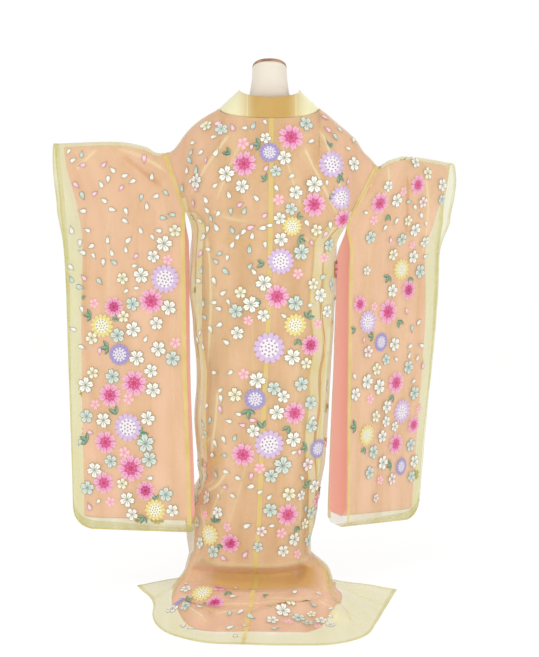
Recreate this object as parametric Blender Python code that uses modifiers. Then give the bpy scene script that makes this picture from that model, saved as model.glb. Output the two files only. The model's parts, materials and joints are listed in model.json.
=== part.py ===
"""An uchikake (a long open wedding kimono of sheer organza over a loose
plain lining) on a limbless dress form with a pole and a round foot.

+X is the wearer's right, +Y is the wearer's front and +Z is up.  The origin is the middle
of the foot's underside, on the floor.  Every cloth piece is a thin wall: a grid of points
is worked out on its outer face, and Solidify gives it its thickness inwards.
"""
import math

import bmesh
import bpy
import numpy as np

# ---------------------------------------------------------------- sizes (metres)
WALL = 0.0012  # organza wall
LINING_WALL = 0.0011
GAP = 0.0003  # between pieces at a seam
LINING_DROP = 0.0050  # lining's outer face under the organza's
LINING_SEWN = 0.0022  # the same where the two are sewn together
SLEEVE_LINING_SEWN = {-1: 0.0016, 1: 0.0030}  # the same at each sleeve's seams

SIDE_SEAM = 0.435  # shares of the half hem width, from the centre back seam
FRONT_SEAM = 0.783
Z_FOLD = 0.104  # height of the fold where the back breaks over the floor
Z_SLIT = 0.97  # the side seam is open above this, up to the armhole
Z_COLLAR_END = 0.70
V_COLLAR_END = 1.40  # the same place as a row of the cloth
V_COLLAR_STEP = 1.42  # the overlap has its full width again from here down
ARM_ROWS = 6  # rows from the armhole's end up to the shoulder
SLIT_SHARE = 0.16  # how much of a quarter the side slit opens at the armhole's end
COLLAR_WALL = 0.0024  # the band is folded double

FOOT_RADIUS = 0.140
FOOT_THICK = 0.008
HUB_RADIUS = 0.028
HUB_TOP = 0.046
POLE_RADIUS = 0.0125
TORSO_BOTTOM = 0.800
NECK_TILT = 0.42  # the neck's top plane falls this much per metre towards the front


def table(columns, *rows):
    """Rows of numbers under named columns."""
    cells = np.array(rows, float)
    return {name: cells[:, i] for i, name in enumerate(columns.split())}


# Column of the skirt and back: half sections by height.  cb is the centre back seam's x,
# side the widest |x| and mid its y, back and front the y of the back and front,
# edge the |x| of the open front's edge, round the corner exponent.
SECTION = {
    -1: table(
        "z cb back side mid front edge round",
        (0.104, -0.040, -0.122, 0.232, 0.050, 0.205, 0.150, 2.3),
        (0.15, -0.036, -0.122, 0.239, 0.085, 0.195, 0.135, 2.2),
        (0.20, -0.032, -0.123, 0.237, 0.100, 0.190, 0.125, 2.2),
        (0.26, -0.028, -0.125, 0.222, 0.095, 0.185, 0.118, 2.2),
        (0.32, -0.026, -0.127, 0.190, 0.060, 0.180, 0.112, 2.4),
        (0.40, -0.023, -0.129, 0.196, 0.030, 0.172, 0.106, 2.5),
        (0.50, -0.018, -0.131, 0.202, 0.015, 0.166, 0.100, 2.5),
        (0.62, -0.012, -0.133, 0.194, 0.010, 0.160, 0.096, 2.5),
        (0.78, -0.004, -0.136, 0.206, 0.008, 0.154, 0.098, 2.5),
        (0.90, -0.001, -0.142, 0.218, 0.005, 0.148, 0.108, 2.5),
        (1.00, 0.002, -0.148, 0.216, 0.002, 0.142, 0.116, 2.4),
        (1.05, 0.003, -0.150, 0.221, 0.000, 0.139, 0.118, 2.3),
        (1.10, 0.004, -0.151, 0.246, 0.000, 0.136, 0.120, 2.2),
    ),
    1: table(
        "z cb back side mid front edge round",
        (0.104, -0.040, -0.122, 0.120, 0.020, 0.205, 0.105, 2.4),
        (0.15, -0.036, -0.122, 0.117, 0.030, 0.198, 0.100, 2.4),
        (0.20, -0.032, -0.123, 0.123, 0.035, 0.190, 0.098, 2.4),
        (0.26, -0.028, -0.125, 0.129, 0.030, 0.182, 0.096, 2.4),
        (0.32, -0.026, -0.127, 0.136, 0.015, 0.176, 0.094, 2.4),
        (0.40, -0.023, -0.129, 0.146, -0.002, 0.170, 0.092, 2.4),
        (0.50, -0.018, -0.131, 0.152, -0.012, 0.164, 0.090, 2.35),
        (0.62, -0.012, -0.133, 0.160, -0.018, 0.158, 0.092, 2.3),
        (0.78, -0.004, -0.136, 0.170, -0.022, 0.152, 0.097, 2.3),
        (0.90, -0.001, -0.142, 0.177, -0.022, 0.146, 0.106, 2.3),
        (1.00, 0.002, -0.148, 0.186, -0.012, 0.141, 0.114, 2.3),
        (1.05, 0.003, -0.150, 0.216, -0.004, 0.138, 0.117, 2.3),
        (1.10, 0.004, -0.151, 0.246, 0.000, 0.135, 0.119, 2.2),
    ),
}
ARMHOLE_END = {-1: 1.09, 1: 1.05}

# The shoulder ridge from the neck to the sleeve seam: |x|, y, z.
RIDGE = {
    -1: table(
        "x y z",
        (0.140, -0.004, 1.3720),
        (0.155, -0.004, 1.3645),
        (0.172, -0.004, 1.3550),
        (0.195, -0.004, 1.3400),
        (0.220, -0.004, 1.319),
        (0.241, -0.005, 1.294),
        (0.256, -0.006, 1.272),
        (0.272, -0.008, 1.256),
        (0.289, -0.010, 1.250),
    ),
    1: table(
        "x y z",
        (0.137, -0.004, 1.3735),
        (0.152, -0.004, 1.3640),
        (0.168, -0.004, 1.3510),
        (0.190, -0.004, 1.3320),
        (0.218, -0.004, 1.309),
        (0.243, -0.005, 1.284),
        (0.260, -0.006, 1.256),
        (0.280, -0.008, 1.236),
        (0.298, -0.010, 1.214),
    ),
}
NECK_SHARE = 0.46  # share of the back's width that ends on the neck seam
NECK_BACK = (0.005, -0.116, 1.343)  # the neck seam at the centre back
COLLAR_TOP = (0.083, 0.090, 1.401, 1.424)  # half width, depth, z at back and at the sides

# The hem on the floor from the centre back to the front corner of each side.
HEM = {
    -1: table(
        "x y",
        (-0.068, -0.484),
        (-0.150, -0.476),
        (-0.212, -0.443),
        (-0.268, -0.388),
        (-0.303, -0.310),
        (-0.318, -0.230),
        (-0.322, -0.140),
        (-0.338, -0.060),
        (-0.365, 0.005),
        (-0.385, 0.062),
    ),
    1: table(
        "x y",
        (-0.068, -0.484),
        (0.030, -0.493),
        (0.125, -0.492),
        (0.200, -0.464),
        (0.250, -0.412),
        (0.283, -0.310),
        (0.308, -0.212),
        (0.338, -0.095),
        (0.367, 0.021),
    ),
}

# From the break to the hem: run is the share of the way out to the hem and z the height,
# for the centre back, for the sides and for the front edges.
TRAIN = table(
    "step run_back z_back run_left z_left run_right z_right run_front z_front",
    (0.0, 0.000, 0.104, 0.00, 0.104, 0.00, 0.104, 0.00, 0.104),
    (1.0, -0.055, 0.089, 0.09, 0.082, 0.15, 0.100, 0.03, 0.078),
    (2.0, -0.128, 0.071, 0.15, 0.064, 0.28, 0.091, 0.07, 0.054),
    (3.0, -0.066, 0.050, 0.22, 0.054, 0.34, 0.072, 0.12, 0.034),
    (4.0, 0.040, 0.046, 0.31, 0.051, 0.36, 0.054, 0.19, 0.020),
    (5.0, 0.145, 0.054, 0.41, 0.047, 0.41, 0.038, 0.27, 0.013),
    (6.0, 0.240, 0.044, 0.51, 0.037, 0.49, 0.030, 0.37, 0.010),
    (7.0, 0.335, 0.025, 0.61, 0.025, 0.57, 0.029, 0.48, 0.009),
    (8.0, 0.430, 0.031, 0.70, 0.019, 0.66, 0.022, 0.60, 0.008),
    (9.0, 0.540, 0.019, 0.79, 0.012, 0.76, 0.012, 0.72, 0.0062),
    (10.0, 0.700, 0.0085, 0.87, 0.0068, 0.86, 0.0070, 0.84, 0.0045),
    (11.0, 0.860, 0.0052, 0.94, 0.0035, 0.94, 0.0035, 0.93, 0.0030),
    (12.0, 1.000, 0.0016, 1.00, 0.0016, 1.00, 0.0016, 1.00, 0.0016),
)
TRAIN_STEPS = 12

# Folds of the body.  s is the share from centre back to front edge at the fold's ends,
# width is in the same share, height is outward.
FOLDS = {
    -1: table(
        "s_top z_top s_low z_low width height",
        (0.175, 1.30, 0.345, 1.07, 0.045, 0.014),
        (0.120, 1.28, 0.225, 0.98, 0.040, -0.007),
        (0.365, 0.98, 0.400, 0.13, 0.045, 0.009),
        (0.545, 1.15, 0.535, 0.13, 0.050, 0.016),
        (0.660, 1.00, 0.655, 0.12, 0.045, -0.012),
        (0.770, 1.00, 0.760, 0.12, 0.050, 0.013),
        (0.250, 0.70, 0.270, 0.12, 0.040, -0.005),
        (0.890, 0.70, 0.880, 0.12, 0.050, -0.009),
    ),
    1: table(
        "s_top z_top s_low z_low width height",
        (0.190, 1.31, 0.385, 1.04, 0.045, 0.016),
        (0.135, 1.28, 0.270, 0.92, 0.042, -0.009),
        (0.350, 0.92, 0.330, 0.13, 0.042, 0.009),
        (0.545, 1.10, 0.540, 0.13, 0.050, 0.015),
        (0.660, 1.00, 0.650, 0.12, 0.045, -0.012),
        (0.770, 0.98, 0.760, 0.12, 0.050, 0.012),
        (0.240, 0.62, 0.250, 0.12, 0.040, -0.005),
        (0.890, 0.70, 0.880, 0.12, 0.050, -0.009),
    ),
}

# Sleeves.  At each height: the middle of the open inner edge and of the outer edge,
# and the distance between the two leaves at each.  z falls from the armhole's end.
SLEEVE = {
    -1: table(
        "z in_x in_y in_gap out_x out_y out_gap",
        (1.09, -0.237, -0.006, 0.092, -0.592, 0.020, 0.040),
        (1.00, -0.229, -0.018, 0.072, -0.580, 0.020, 0.0060),
        (0.88, -0.228, -0.024, 0.060, -0.574, 0.020, 0.0042),
        (0.74, -0.227, -0.030, 0.054, -0.571, 0.018, 0.0042),
        (0.60, -0.225, -0.036, 0.050, -0.568, 0.016, 0.0042),
        (0.46, -0.220, -0.044, 0.048, -0.565, 0.012, 0.0042),
        (0.34, -0.216, -0.052, 0.046, -0.562, 0.008, 0.0042),
        (0.18, -0.213, -0.062, 0.044, -0.560, 0.004, 0.0042),
    ),
    1: table(
        "z in_x in_y in_gap out_x out_y out_gap",
        (1.05, 0.214, 0.000, 0.092, 0.522, 0.232, 0.030),
        (0.96, 0.206, 0.012, 0.060, 0.502, 0.237, 0.0042),
        (0.86, 0.204, 0.018, 0.058, 0.500, 0.242, 0.0042),
        (0.74, 0.202, 0.022, 0.062, 0.494, 0.248, 0.0042),
        (0.60, 0.200, 0.025, 0.066, 0.483, 0.255, 0.0042),
        (0.46, 0.197, 0.028, 0.071, 0.471, 0.263, 0.0042),
        (0.34, 0.195, 0.030, 0.075, 0.462, 0.269, 0.0042),
        (0.15, 0.192, 0.032, 0.079, 0.451, 0.276, 0.0042),
    ),
}
SLEEVE_TOP = {  # height of the sleeve's upper fold along it
    -1: table(
        "s z",
        (0.00, 1.250),
        (0.09, 1.254),
        (0.16, 1.266),
        (0.48, 1.282),
        (1.00, 1.277),
    ),
    1: table(
        "s z",
        (0.00, 1.214),
        (0.10, 1.226),
        (0.24, 1.237),
        (0.34, 1.242),
        (0.60, 1.238),
        (1.00, 1.223),
    ),
}
CUFF = {-1: (-0.603, 0.022, 0.050), 1: (0.537, 0.230, 0.044)}  # x, y, gap at the top
SLEEVE_BOTTOM = {-1: (0.192, 0.186), 1: (0.186, 0.150)}  # z at the inner and outer end
LINING_SHORT = 0.036  # share of the drop by which the lining bag is shorter
CORNER = 0.060  # radius of the sleeve's lower outer corner
TOP_ROUND = 2.6

# Dress form: height, half width, half depth, the section's middle in y, and its tilt.
TORSO = table(
    "z wide deep mid tilt",
    (0.800, 0.096, 0.076, 0.000, 0.0),
    (0.812, 0.110, 0.088, 0.000, 0.0),
    (0.850, 0.114, 0.092, 0.000, 0.0),
    (0.920, 0.112, 0.088, 0.000, 0.0),
    (0.990, 0.110, 0.084, -0.002, 0.0),
    (1.060, 0.124, 0.090, -0.006, 0.0),
    (1.140, 0.146, 0.100, -0.010, 0.0),
    (1.210, 0.160, 0.099, -0.012, 0.0),
    (1.270, 0.168, 0.088, -0.012, 0.0),
    (1.304, 0.170, 0.074, -0.008, 0.0),
    (1.328, 0.165, 0.061, -0.005, 0.0),
    (1.3415, 0.159, 0.053, -0.004, 0.0),
    (1.3513, 0.151, 0.048, -0.004, 0.0),
    (1.3612, 0.137, 0.045, -0.004, 0.0),
    (1.3760, 0.106, 0.045, -0.004, 0.0),
    (1.390, 0.074, 0.048, -0.003, -0.04),
    (1.406, 0.058, 0.050, -0.002, -0.10),
    (1.428, 0.0525, 0.0495, -0.001, -0.20),
    (1.452, 0.049, 0.048, 0.000, -0.32),
    (1.480, 0.0475, 0.0465, 0.000, -0.42),
)
TORSO_SIDES = 24


# ---------------------------------------------------------------- curves
def smooth(x, xs, ys):
    """A smooth curve through a table's points."""
    xs, ys = np.asarray(xs, float), np.asarray(ys, float)
    steps = np.diff(ys) / np.diff(xs)
    slope = np.empty_like(ys)
    slope[1:-1] = np.where(steps[1:] * steps[:-1] > 0, 0.5 * (steps[1:] + steps[:-1]), 0)
    slope[0], slope[-1] = steps[0], steps[-1]
    limit = 3 * np.minimum(np.abs(np.r_[steps[0], steps]), np.abs(np.r_[steps, steps[-1]]))
    slope = np.clip(slope, -limit, limit)
    x = np.clip(np.asarray(x, float), xs[0], xs[-1])
    i = np.clip(np.searchsorted(xs, x, side="right") - 1, 0, len(xs) - 2)
    h = xs[i + 1] - xs[i]
    t = (x - xs[i]) / h
    return (
        ys[i] * (1 + 2 * t) * (1 - t) ** 2
        + ys[i + 1] * t * t * (3 - 2 * t)
        + slope[i] * h * t * (1 - t) ** 2
        + slope[i + 1] * h * t * t * (t - 1)
    )


def ramp(x, low, high):
    """0 below low, 1 above high, smooth between."""
    t = np.clip((np.asarray(x, float) - low) / (high - low), 0, 1)
    return t * t * (3 - 2 * t)


def along(points, share):
    """The points at these shares of a polyline's length."""
    points = np.asarray(points, float)
    run = np.r_[0, np.cumsum(np.linalg.norm(np.diff(points, axis=0), axis=1))]
    at = np.clip(share, 0, 1) * run[-1]
    return np.stack([np.interp(at, run, points[:, k]) for k in range(points.shape[1])], -1)


def through(columns, names, share, n=80):
    """The points at these shares of the smooth curve through a table's rows."""
    base = np.stack([columns[c] for c in names], -1)
    run = np.r_[0, np.cumsum(np.linalg.norm(np.diff(base, axis=0), axis=1))]
    fine = np.linspace(0, run[-1], n)
    return along(np.stack([smooth(fine, run, base[:, k]) for k in range(len(names))], -1), share)


# ---------------------------------------------------------------- the body's surface
# A point of one half is named by its side (-1 left, 1 right), its face (back or front),
# v down the cloth (0 shoulder, 1 armhole's end, 2 break over the floor, 3 hem) and s
# across it (0 centre back seam, SIDE_SEAM, FRONT_SEAM, 1 front edge).
LEVELS = np.linspace(Z_FOLD, 1.10, 80)
ACROSS = np.linspace(0, 1, 121)
CENTRE_LEVEL = 1.07  # height of the row at the armholes' ends, at the centre back


def quarters(side, z):
    """The back and front quarter of a level section, evenly spaced along the cloth."""
    t = SECTION[side]
    cb, back, wide, mid, front, edge, power = (
        float(smooth(z, t["z"], t[c]))
        for c in ("cb", "back", "side", "mid", "front", "edge", "round")
    )
    e = 2 / power
    a = np.linspace(0, math.pi / 2, 91)
    b = np.linspace(0, math.acos((edge / wide) ** (1 / e)), 91)
    back_x = cb + (side * wide - cb) * np.sin(a) ** e
    back_y = mid + (back - mid) * np.cos(a) ** e
    front_x = side * wide * np.cos(b) ** e
    front_y = mid + (front - mid) * np.sin(b) ** e
    return (
        along(np.stack([back_x, back_y], -1), ACROSS),
        along(np.stack([front_x, front_y], -1), ACROSS),
    )


def lattice(side):
    pairs = [quarters(side, z) for z in LEVELS]
    return {"back": np.array([p[0] for p in pairs]), "front": np.array([p[1] for p in pairs])}


def sample(grid, row, column):
    """Points between a lattice's points."""
    i = np.clip(np.floor(row).astype(int), 0, grid.shape[0] - 2)
    j = np.clip(np.floor(column).astype(int), 0, grid.shape[1] - 2)
    u = (row - i)[..., None]
    w = (column - j)[..., None]
    low = grid[i, j] * (1 - w) + grid[i, j + 1] * w
    high = grid[i + 1, j] * (1 - w) + grid[i + 1, j + 1] * w
    return low * (1 - u) + high * u


def column_point(side, face, z, s):
    """The skirt and back between the armhole's end and the break over the floor."""
    slit = SLIT_SHARE * ramp(z, Z_SLIT, ARMHOLE_END[side])
    if face == "back":
        share = s / SIDE_SEAM * (1 - slit)
    else:
        even = (FRONT_SEAM - SIDE_SEAM) / (1 - SIDE_SEAM)
        narrow = even + (0.965 - even) * ramp(z, Z_COLLAR_END, ARMHOLE_END[side])
        panel = (s - SIDE_SEAM) / (FRONT_SEAM - SIDE_SEAM) * narrow
        overlap = narrow + (s - FRONT_SEAM) / (1 - FRONT_SEAM) * (1 - narrow)
        share = slit + np.where(s < FRONT_SEAM, panel, overlap) * (1 - slit)
    row = (z - LEVELS[0]) / (LEVELS[1] - LEVELS[0])
    xy = sample(LATTICE[side][face], row, np.clip(share, 0, 1) * (len(ACROSS) - 1))
    return np.concatenate([xy, z[..., None]], -1)


def level_z(side, s):
    """Height of the row at the armhole's end; both sides meet at the centre back."""
    return CENTRE_LEVEL + (ARMHOLE_END[side] - CENTRE_LEVEL) * ramp(s, 0.03, 0.33)


def neck_seam(side, g):
    """The back's neck seam from the centre back (g 0) to the shoulder (g 1)."""
    a = np.clip(g, 0, 1) * math.pi / 2
    r = RIDGE[side]
    x = NECK_BACK[0] * np.cos(a) + side * r["x"][0] * np.sin(a)
    y = r["y"][0] + (NECK_BACK[1] - r["y"][0]) * np.cos(a)
    z = NECK_BACK[2] + (r["z"][0] - NECK_BACK[2]) * (1 - np.cos(a))
    return np.stack([x, y, z], -1)


def shoulder(side, g):
    """The shoulder ridge from the neck (g 0) to the sleeve seam (g 1)."""
    return through(RIDGE[side], ("x", "y", "z"), g) * np.array([side, 1, 1])


def yoke_point(side, face, up, s):
    """Above the armhole's end: up runs from 0 there to 1 at the shoulder or neck seam."""
    level = column_point(side, face, level_z(side, s), s)
    if face == "back":
        g = s / SIDE_SEAM
        past = (g - NECK_SHARE) / (1 - NECK_SHARE)
        top = np.where(
            (past <= 0)[..., None], neck_seam(side, g / NECK_SHARE), shoulder(side, past)
        )
        q = 1 + (TOP_ROUND - 1) * ramp(g, NECK_SHARE - 0.22, NECK_SHARE + 0.05)
    else:
        top = shoulder(side, 1 - (s - SIDE_SEAM) / (FRONT_SEAM - SIDE_SEAM))
        q = np.full(np.shape(s), TOP_ROUND)
    hold = np.maximum(1 - up**TOP_ROUND, 0) ** (1 / q)
    x = level[..., 0] + (top[..., 0] - level[..., 0]) * up
    y = top[..., 1] + (level[..., 1] - top[..., 1]) * hold
    z = level[..., 2] + (top[..., 2] - level[..., 2]) * up
    return np.stack([x, y, z], -1)


def train_point(side, face, step, s):
    """Between the break over the floor (step 0) and the hem."""
    start = column_point(side, face, np.full(s.shape, Z_FOLD), s)[..., :2]
    end = through(HEM[side], ("x", "y"), s)
    flank = "left" if side < 0 else "right"
    w_front = ramp(s, 0.55, 0.90)
    w_side = ramp(s, 0.20, 0.46) * (1 - w_front)
    w_back = 1 - w_side - w_front
    run, z = 0, 0
    for name, weight in (("back", w_back), (flank, w_side), ("front", w_front)):
        run = run + weight * smooth(step, TRAIN["step"], TRAIN["run_" + name])
        z = z + weight * smooth(step, TRAIN["step"], TRAIN["z_" + name])
    return np.concatenate([start + (end - start) * run[..., None], z[..., None]], -1)


def plain_point(side, face, v, s):
    v, s = np.broadcast_arrays(np.asarray(v, float), np.asarray(s, float))
    out = np.empty(v.shape + (3,))
    top, low = v < 1, v > 2
    mid = ~(top | low)
    out[top] = yoke_point(side, face, 1 - v[top], s[top])
    high = level_z(side, s[mid])
    out[mid] = column_point(side, face, high + (Z_FOLD - high) * (v[mid] - 1), s[mid])
    out[low] = train_point(side, face, (v[low] - 2) * TRAIN_STEPS, s[low])
    return out


def face_normal(point, side, face, v, s, small=0.002):
    """Outward normals of a surface, from points close by on it."""
    low, high = (0, SIDE_SEAM) if face == "back" else (SIDE_SEAM, 1)
    across = point(side, face, v, np.minimum(s + small, high)) - point(
        side, face, v, np.maximum(s - small, low)
    )
    down = point(side, face, np.minimum(v + small, 3), s) - point(
        side, face, np.maximum(v - small, 0), s
    )
    n = np.cross(down, across) * side
    return n / np.maximum(np.linalg.norm(n, axis=-1, keepdims=True), 1e-12)


def fold_height(side, v, s, z):
    """How far the body's folds stand out."""
    f = FOLDS[side]
    out = np.zeros(z.shape)
    for top, z_top, low, z_low, width, height in zip(*(f[c] for c in f)):
        t = (z_top - z) / (z_top - z_low)
        centre = top + (low - top) * np.clip(t, 0, 1)
        fade = ramp(t, 0.0, 0.18) * (1 - ramp(t, 0.86, 1.06))
        out += height * fade * np.exp(-(((s - centre) / width) ** 2))
    return out * ramp(v, 0.0, 0.35) * (1 - ramp(v, 1.9, 2.0))


def body_point(side, face, v, s):
    v, s = np.broadcast_arrays(np.asarray(v, float), np.asarray(s, float))
    p = plain_point(side, face, v, s)
    n = face_normal(plain_point, side, face, v, s)
    return p + n * fold_height(side, v, s, p[..., 2])[..., None]


def lining_drop(side, face, v, s):
    """How far under the organza the lining lies: sewn close at the neck, narrower at the
    sides of the skirt."""
    side_gap = 0.050 if side < 0 else 0.040
    beside = np.exp(-(((s - SIDE_SEAM) / 0.115) ** 2)) * ramp(v, 1.06, 1.30)
    drop = LINING_DROP + side_gap * beside * (1 - ramp(v, 1.93, 2.03))
    neck = ramp(v, 0.0, 0.16)
    return LINING_SEWN + (drop - LINING_SEWN) * neck


def lining_point(side, face, v, s):
    v, s = np.broadcast_arrays(np.asarray(v, float), np.asarray(s, float))
    n = face_normal(body_point, side, face, v, s, 0.012)
    n[..., 0] *= ramp(s, 0.0, 0.02)
    p = body_point(side, face, v, s) - n * lining_drop(side, face, v, s)[..., None]
    p[..., 2] = np.maximum(p[..., 2], LINING_WALL + 0.0002)
    return p


# ---------------------------------------------------------------- the sleeve's surface
def armhole(side, leaf, up):
    """The body's edge that the sleeve is sewn to."""
    face = "back" if leaf > 0 else "front"
    return body_point(side, face, 1 - up, np.full(np.shape(up), SIDE_SEAM))


def sleeve_point(side, leaf, w, s):
    """A sleeve point: leaf 1 is the back one and -1 the front one, w runs from the
    bottom (0) past the armhole's end (1) to the upper fold (2), s from seam to cuff."""
    w, s = np.broadcast_arrays(np.asarray(w, float), np.asarray(s, float))
    t = SLEEVE[side]
    arm = ARMHOLE_END[side]
    up = np.clip(w - 1, 0, 1)
    low_in, low_out = SLEEVE_BOTTOM[side]
    near = np.clip(CORNER - (1 - s) * 0.35, 0, CORNER)
    bottom = low_in + (low_out - low_in) * s + CORNER - np.sqrt(CORNER**2 - near**2)
    top = smooth(s, SLEEVE_TOP[side]["s"], SLEEVE_TOP[side]["z"])
    seam = armhole(side, leaf, up)
    z_low = bottom + (arm - bottom) * np.clip(w, 0, 1)
    z_high = arm + (top - arm) * up
    z_high = seam[..., 2] + (z_high - seam[..., 2]) * ramp(s, 0.0, 0.14)
    z = np.where(w < 1, z_low, z_high)

    at = np.minimum(z_low, arm)
    inner_x, inner_y, inner_gap, outer_x, outer_y, outer_gap = (
        smooth(at, t["z"][::-1], t[c][::-1])
        for c in ("in_x", "in_y", "in_gap", "out_x", "out_y", "out_gap")
    )
    cuff_x, cuff_y, cuff_gap = CUFF[side]
    outer_x = outer_x + (cuff_x - outer_x) * ramp(up, 0, 0.8)
    outer_y = outer_y + (cuff_y - outer_y) * ramp(up, 0, 0.8)
    outer_gap = outer_gap + (cuff_gap - outer_gap) * ramp(up, 0, 0.5)
    roll = np.maximum(1 - up**TOP_ROUND, 0) ** (1 / TOP_ROUND)
    closing = ramp(w, -0.012, 0.030) ** 0.5 * roll
    way = np.stack([outer_x - inner_x, outer_y - inner_y], -1)
    normal = np.stack([way[..., 1], -way[..., 0]], -1)
    normal /= np.linalg.norm(normal, axis=-1, keepdims=True)
    normal *= np.where(normal[..., 1:] > 0, -1, 1)
    other = armhole(side, -leaf, up)
    sewn = ramp(at, arm - 0.10, arm)[..., None]
    middle = np.stack([inner_x, inner_y], -1)
    middle = middle + ((seam + other)[..., :2] / 2 - middle) * sewn
    spread = normal * (leaf * inner_gap / 2)[..., None]
    spread = spread + ((seam - other)[..., :2] / 2 - spread) * sewn
    spread = spread * np.where(w < 1, closing, 1)[..., None]
    outer = np.stack([outer_x, outer_y], -1)
    edge = normal * (leaf * outer_gap / 2 * closing)[..., None]
    fall = ((1 - s) ** 1.5)[..., None]
    swell = (0.006 + 0.007 * ramp(z, 0.85, 1.12)) * np.sin(math.pi * s) * closing
    xy = middle + (outer - middle) * s[..., None]
    xy = xy + spread * fall + edge * (1 - fall) + normal * (leaf * swell)[..., None]
    return np.concatenate([xy, z[..., None]], -1)


def lining_sleeve_point(side, leaf, w, s):
    """The lining bag inside the sleeve, which is shorter at the bottom."""
    w, s = np.broadcast_arrays(np.asarray(w, float), np.asarray(s, float))
    raised = w + LINING_SHORT * np.clip(1 - w / 0.45, 0, 1)
    mine = sleeve_point(side, leaf, raised, s)
    other = sleeve_point(side, -leaf, raised, s)
    centre = (mine + other) / 2
    away = (mine - centre)[..., :2]
    half = np.linalg.norm(away, axis=-1, keepdims=True)
    sewn = SLEEVE_LINING_SEWN[side]
    less = sewn + (LINING_DROP - sewn) * ramp(s, 0.0, 0.10)
    keep = np.maximum(half - less[..., None], np.minimum(0.0014, half))
    keep = keep * np.where(w < 0.5, ramp(w, -0.012, 0.030) ** 0.5, 1)[..., None]
    p = mine.copy()
    p[..., :2] = centre[..., :2] + away / np.maximum(half, 1e-9) * keep
    p[..., 2] -= less * 2.0 * ramp(w, 1.3, 2.0)
    return p


# ---------------------------------------------------------------- meshes
def material(name, colour, rough, metallic=0.0, alpha=1.0):
    m = bpy.data.materials.new(name)
    m.use_nodes = True
    shader = m.node_tree.nodes["Principled BSDF"]
    shader.inputs["Base Color"].default_value = (*colour, 1)
    shader.inputs["Roughness"].default_value = rough
    shader.inputs["Metallic"].default_value = metallic
    shader.inputs["Alpha"].default_value = alpha
    m.diffuse_color = (*colour, 1)
    return m


def new_object(name, bm, mat):
    mesh = bpy.data.meshes.new(name)
    bm.to_mesh(mesh)
    bm.free()
    mesh.materials.append(mat)
    mesh.shade_smooth()
    obj = bpy.data.objects.new(name, mesh)
    PARTS.objects.link(obj)
    return obj


def cloth(name, grids, wall, mat, inside):
    """A wall of cloth on one or more grids of points, welded where they share points."""
    bm = bmesh.new()
    for grid in grids:
        rows, columns = grid.shape[:2]
        made = bmesh.ops.create_grid(
            bm, x_segments=columns - 1, y_segments=rows - 1, size=1.0
        )
        for v in made["verts"]:
            i = round((v.co.x + 1) / 2 * (columns - 1))
            j = round((v.co.y + 1) / 2 * (rows - 1))
            v.co = grid[j, i]
    bmesh.ops.remove_doubles(bm, verts=bm.verts, dist=0.00004)
    bmesh.ops.recalc_face_normals(bm, faces=bm.faces)
    bm.normal_update()
    inside = np.array(inside)
    lean = sum(
        f.calc_area() * float(np.dot(np.array(f.calc_center_median()) - inside, np.array(f.normal)))
        for f in bm.faces
    )
    if lean < 0:
        bmesh.ops.reverse_faces(bm, faces=bm.faces)
    obj = new_object(name, bm, mat)
    thick = obj.modifiers.new("wall", "SOLIDIFY")
    thick.thickness = wall
    thick.offset = -1
    thick.use_even_offset = True
    thick.thickness_clamp = 0.0
    return obj


def turned(name, profile, mat, sides=32):
    """A solid of revolution about Z from (radius, z) points, top to bottom at +X."""
    bm = bmesh.new()
    last = None
    for r, z in profile:
        v = bm.verts.new((r, 0, z))
        if last:
            bm.edges.new((last, v))
        last = v
    obj = new_object(name, bm, mat)
    screw = obj.modifiers.new("turn", "SCREW")
    screw.steps = sides
    screw.render_steps = sides
    screw.use_merge_vertices = True
    screw.merge_threshold = 0.0001
    return obj


def lofted(name, rings, mat):
    """A closed body through rings of points, with flat ends."""
    bm = bmesh.new()
    made = [[bm.verts.new(p) for p in ring] for ring in rings]
    n = len(rings[0])
    for low, high in zip(made, made[1:]):
        for i in range(n):
            bm.faces.new((low[i], low[(i + 1) % n], high[(i + 1) % n], high[i]))
    bm.faces.new(made[0][::-1])
    bm.faces.new(made[-1])
    return new_object(name, bm, mat)


def torso_ring(wide, deep, mid, z, tilt, power=2.25, n=TORSO_SIDES):
    a = np.arange(n) / n * 2 * math.pi
    e = 2 / power
    x = wide * np.sign(np.cos(a)) * np.abs(np.cos(a)) ** e
    y = deep * np.sign(np.sin(a)) * np.abs(np.sin(a)) ** e
    return np.stack([x, mid + y, z + tilt * y], -1)


# ---------------------------------------------------------------- build
for old in list(bpy.data.objects):
    bpy.data.objects.remove(old, do_unlink=True)
PARTS = bpy.data.collections.new("uchikake_on_dress_form")
bpy.context.scene.collection.children.link(PARTS)

ORGANZA = material("yellow organza", (0.86, 0.76, 0.30), 0.55, 0.0, 0.6)
LINING = material("peach lining", (0.86, 0.47, 0.31), 0.7)
COVER = material("off-white jersey cover", (0.86, 0.80, 0.70), 0.85)
WOOD = material("varnished wood", (0.36, 0.19, 0.09), 0.35)
STEEL = material("cream painted steel", (0.70, 0.66, 0.58), 0.4)

LATTICE = {side: lattice(side) for side in (-1, 1)}

# Rows down the cloth and columns across it.
YOKE_V = np.arange(ARM_ROWS) / ARM_ROWS
COLUMN_V = np.array((1, 1.08, 1.18, 1.29, 1.40, 1.42, 1.53, 1.64, 1.74, 1.82, 1.90))
TRAIN_V = 2 + np.arange(TRAIN_STEPS + 1) / TRAIN_STEPS
BACK_S = SIDE_SEAM * np.r_[
    np.linspace(0, NECK_SHARE, 6), np.linspace(NECK_SHARE, 1, 7)[1:]
]
FRONT_S = np.linspace(SIDE_SEAM, FRONT_SEAM, 7)
INSIDE = (0.0, 0.03, 0.75)


def grid_of(point, side, face, v, s):
    v, s = np.meshgrid(v, s, indexing="ij")
    return point(side, face, v, s)


def okumi_s(v, share):
    """Shares across the overlap panel, which is cut back along the collar's seam."""
    taper = np.interp(v, (1.0, V_COLLAR_END, V_COLLAR_STEP), (0.90, 0.56, 1.0))
    return FRONT_SEAM + share * (1 - FRONT_SEAM) * taper


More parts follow.
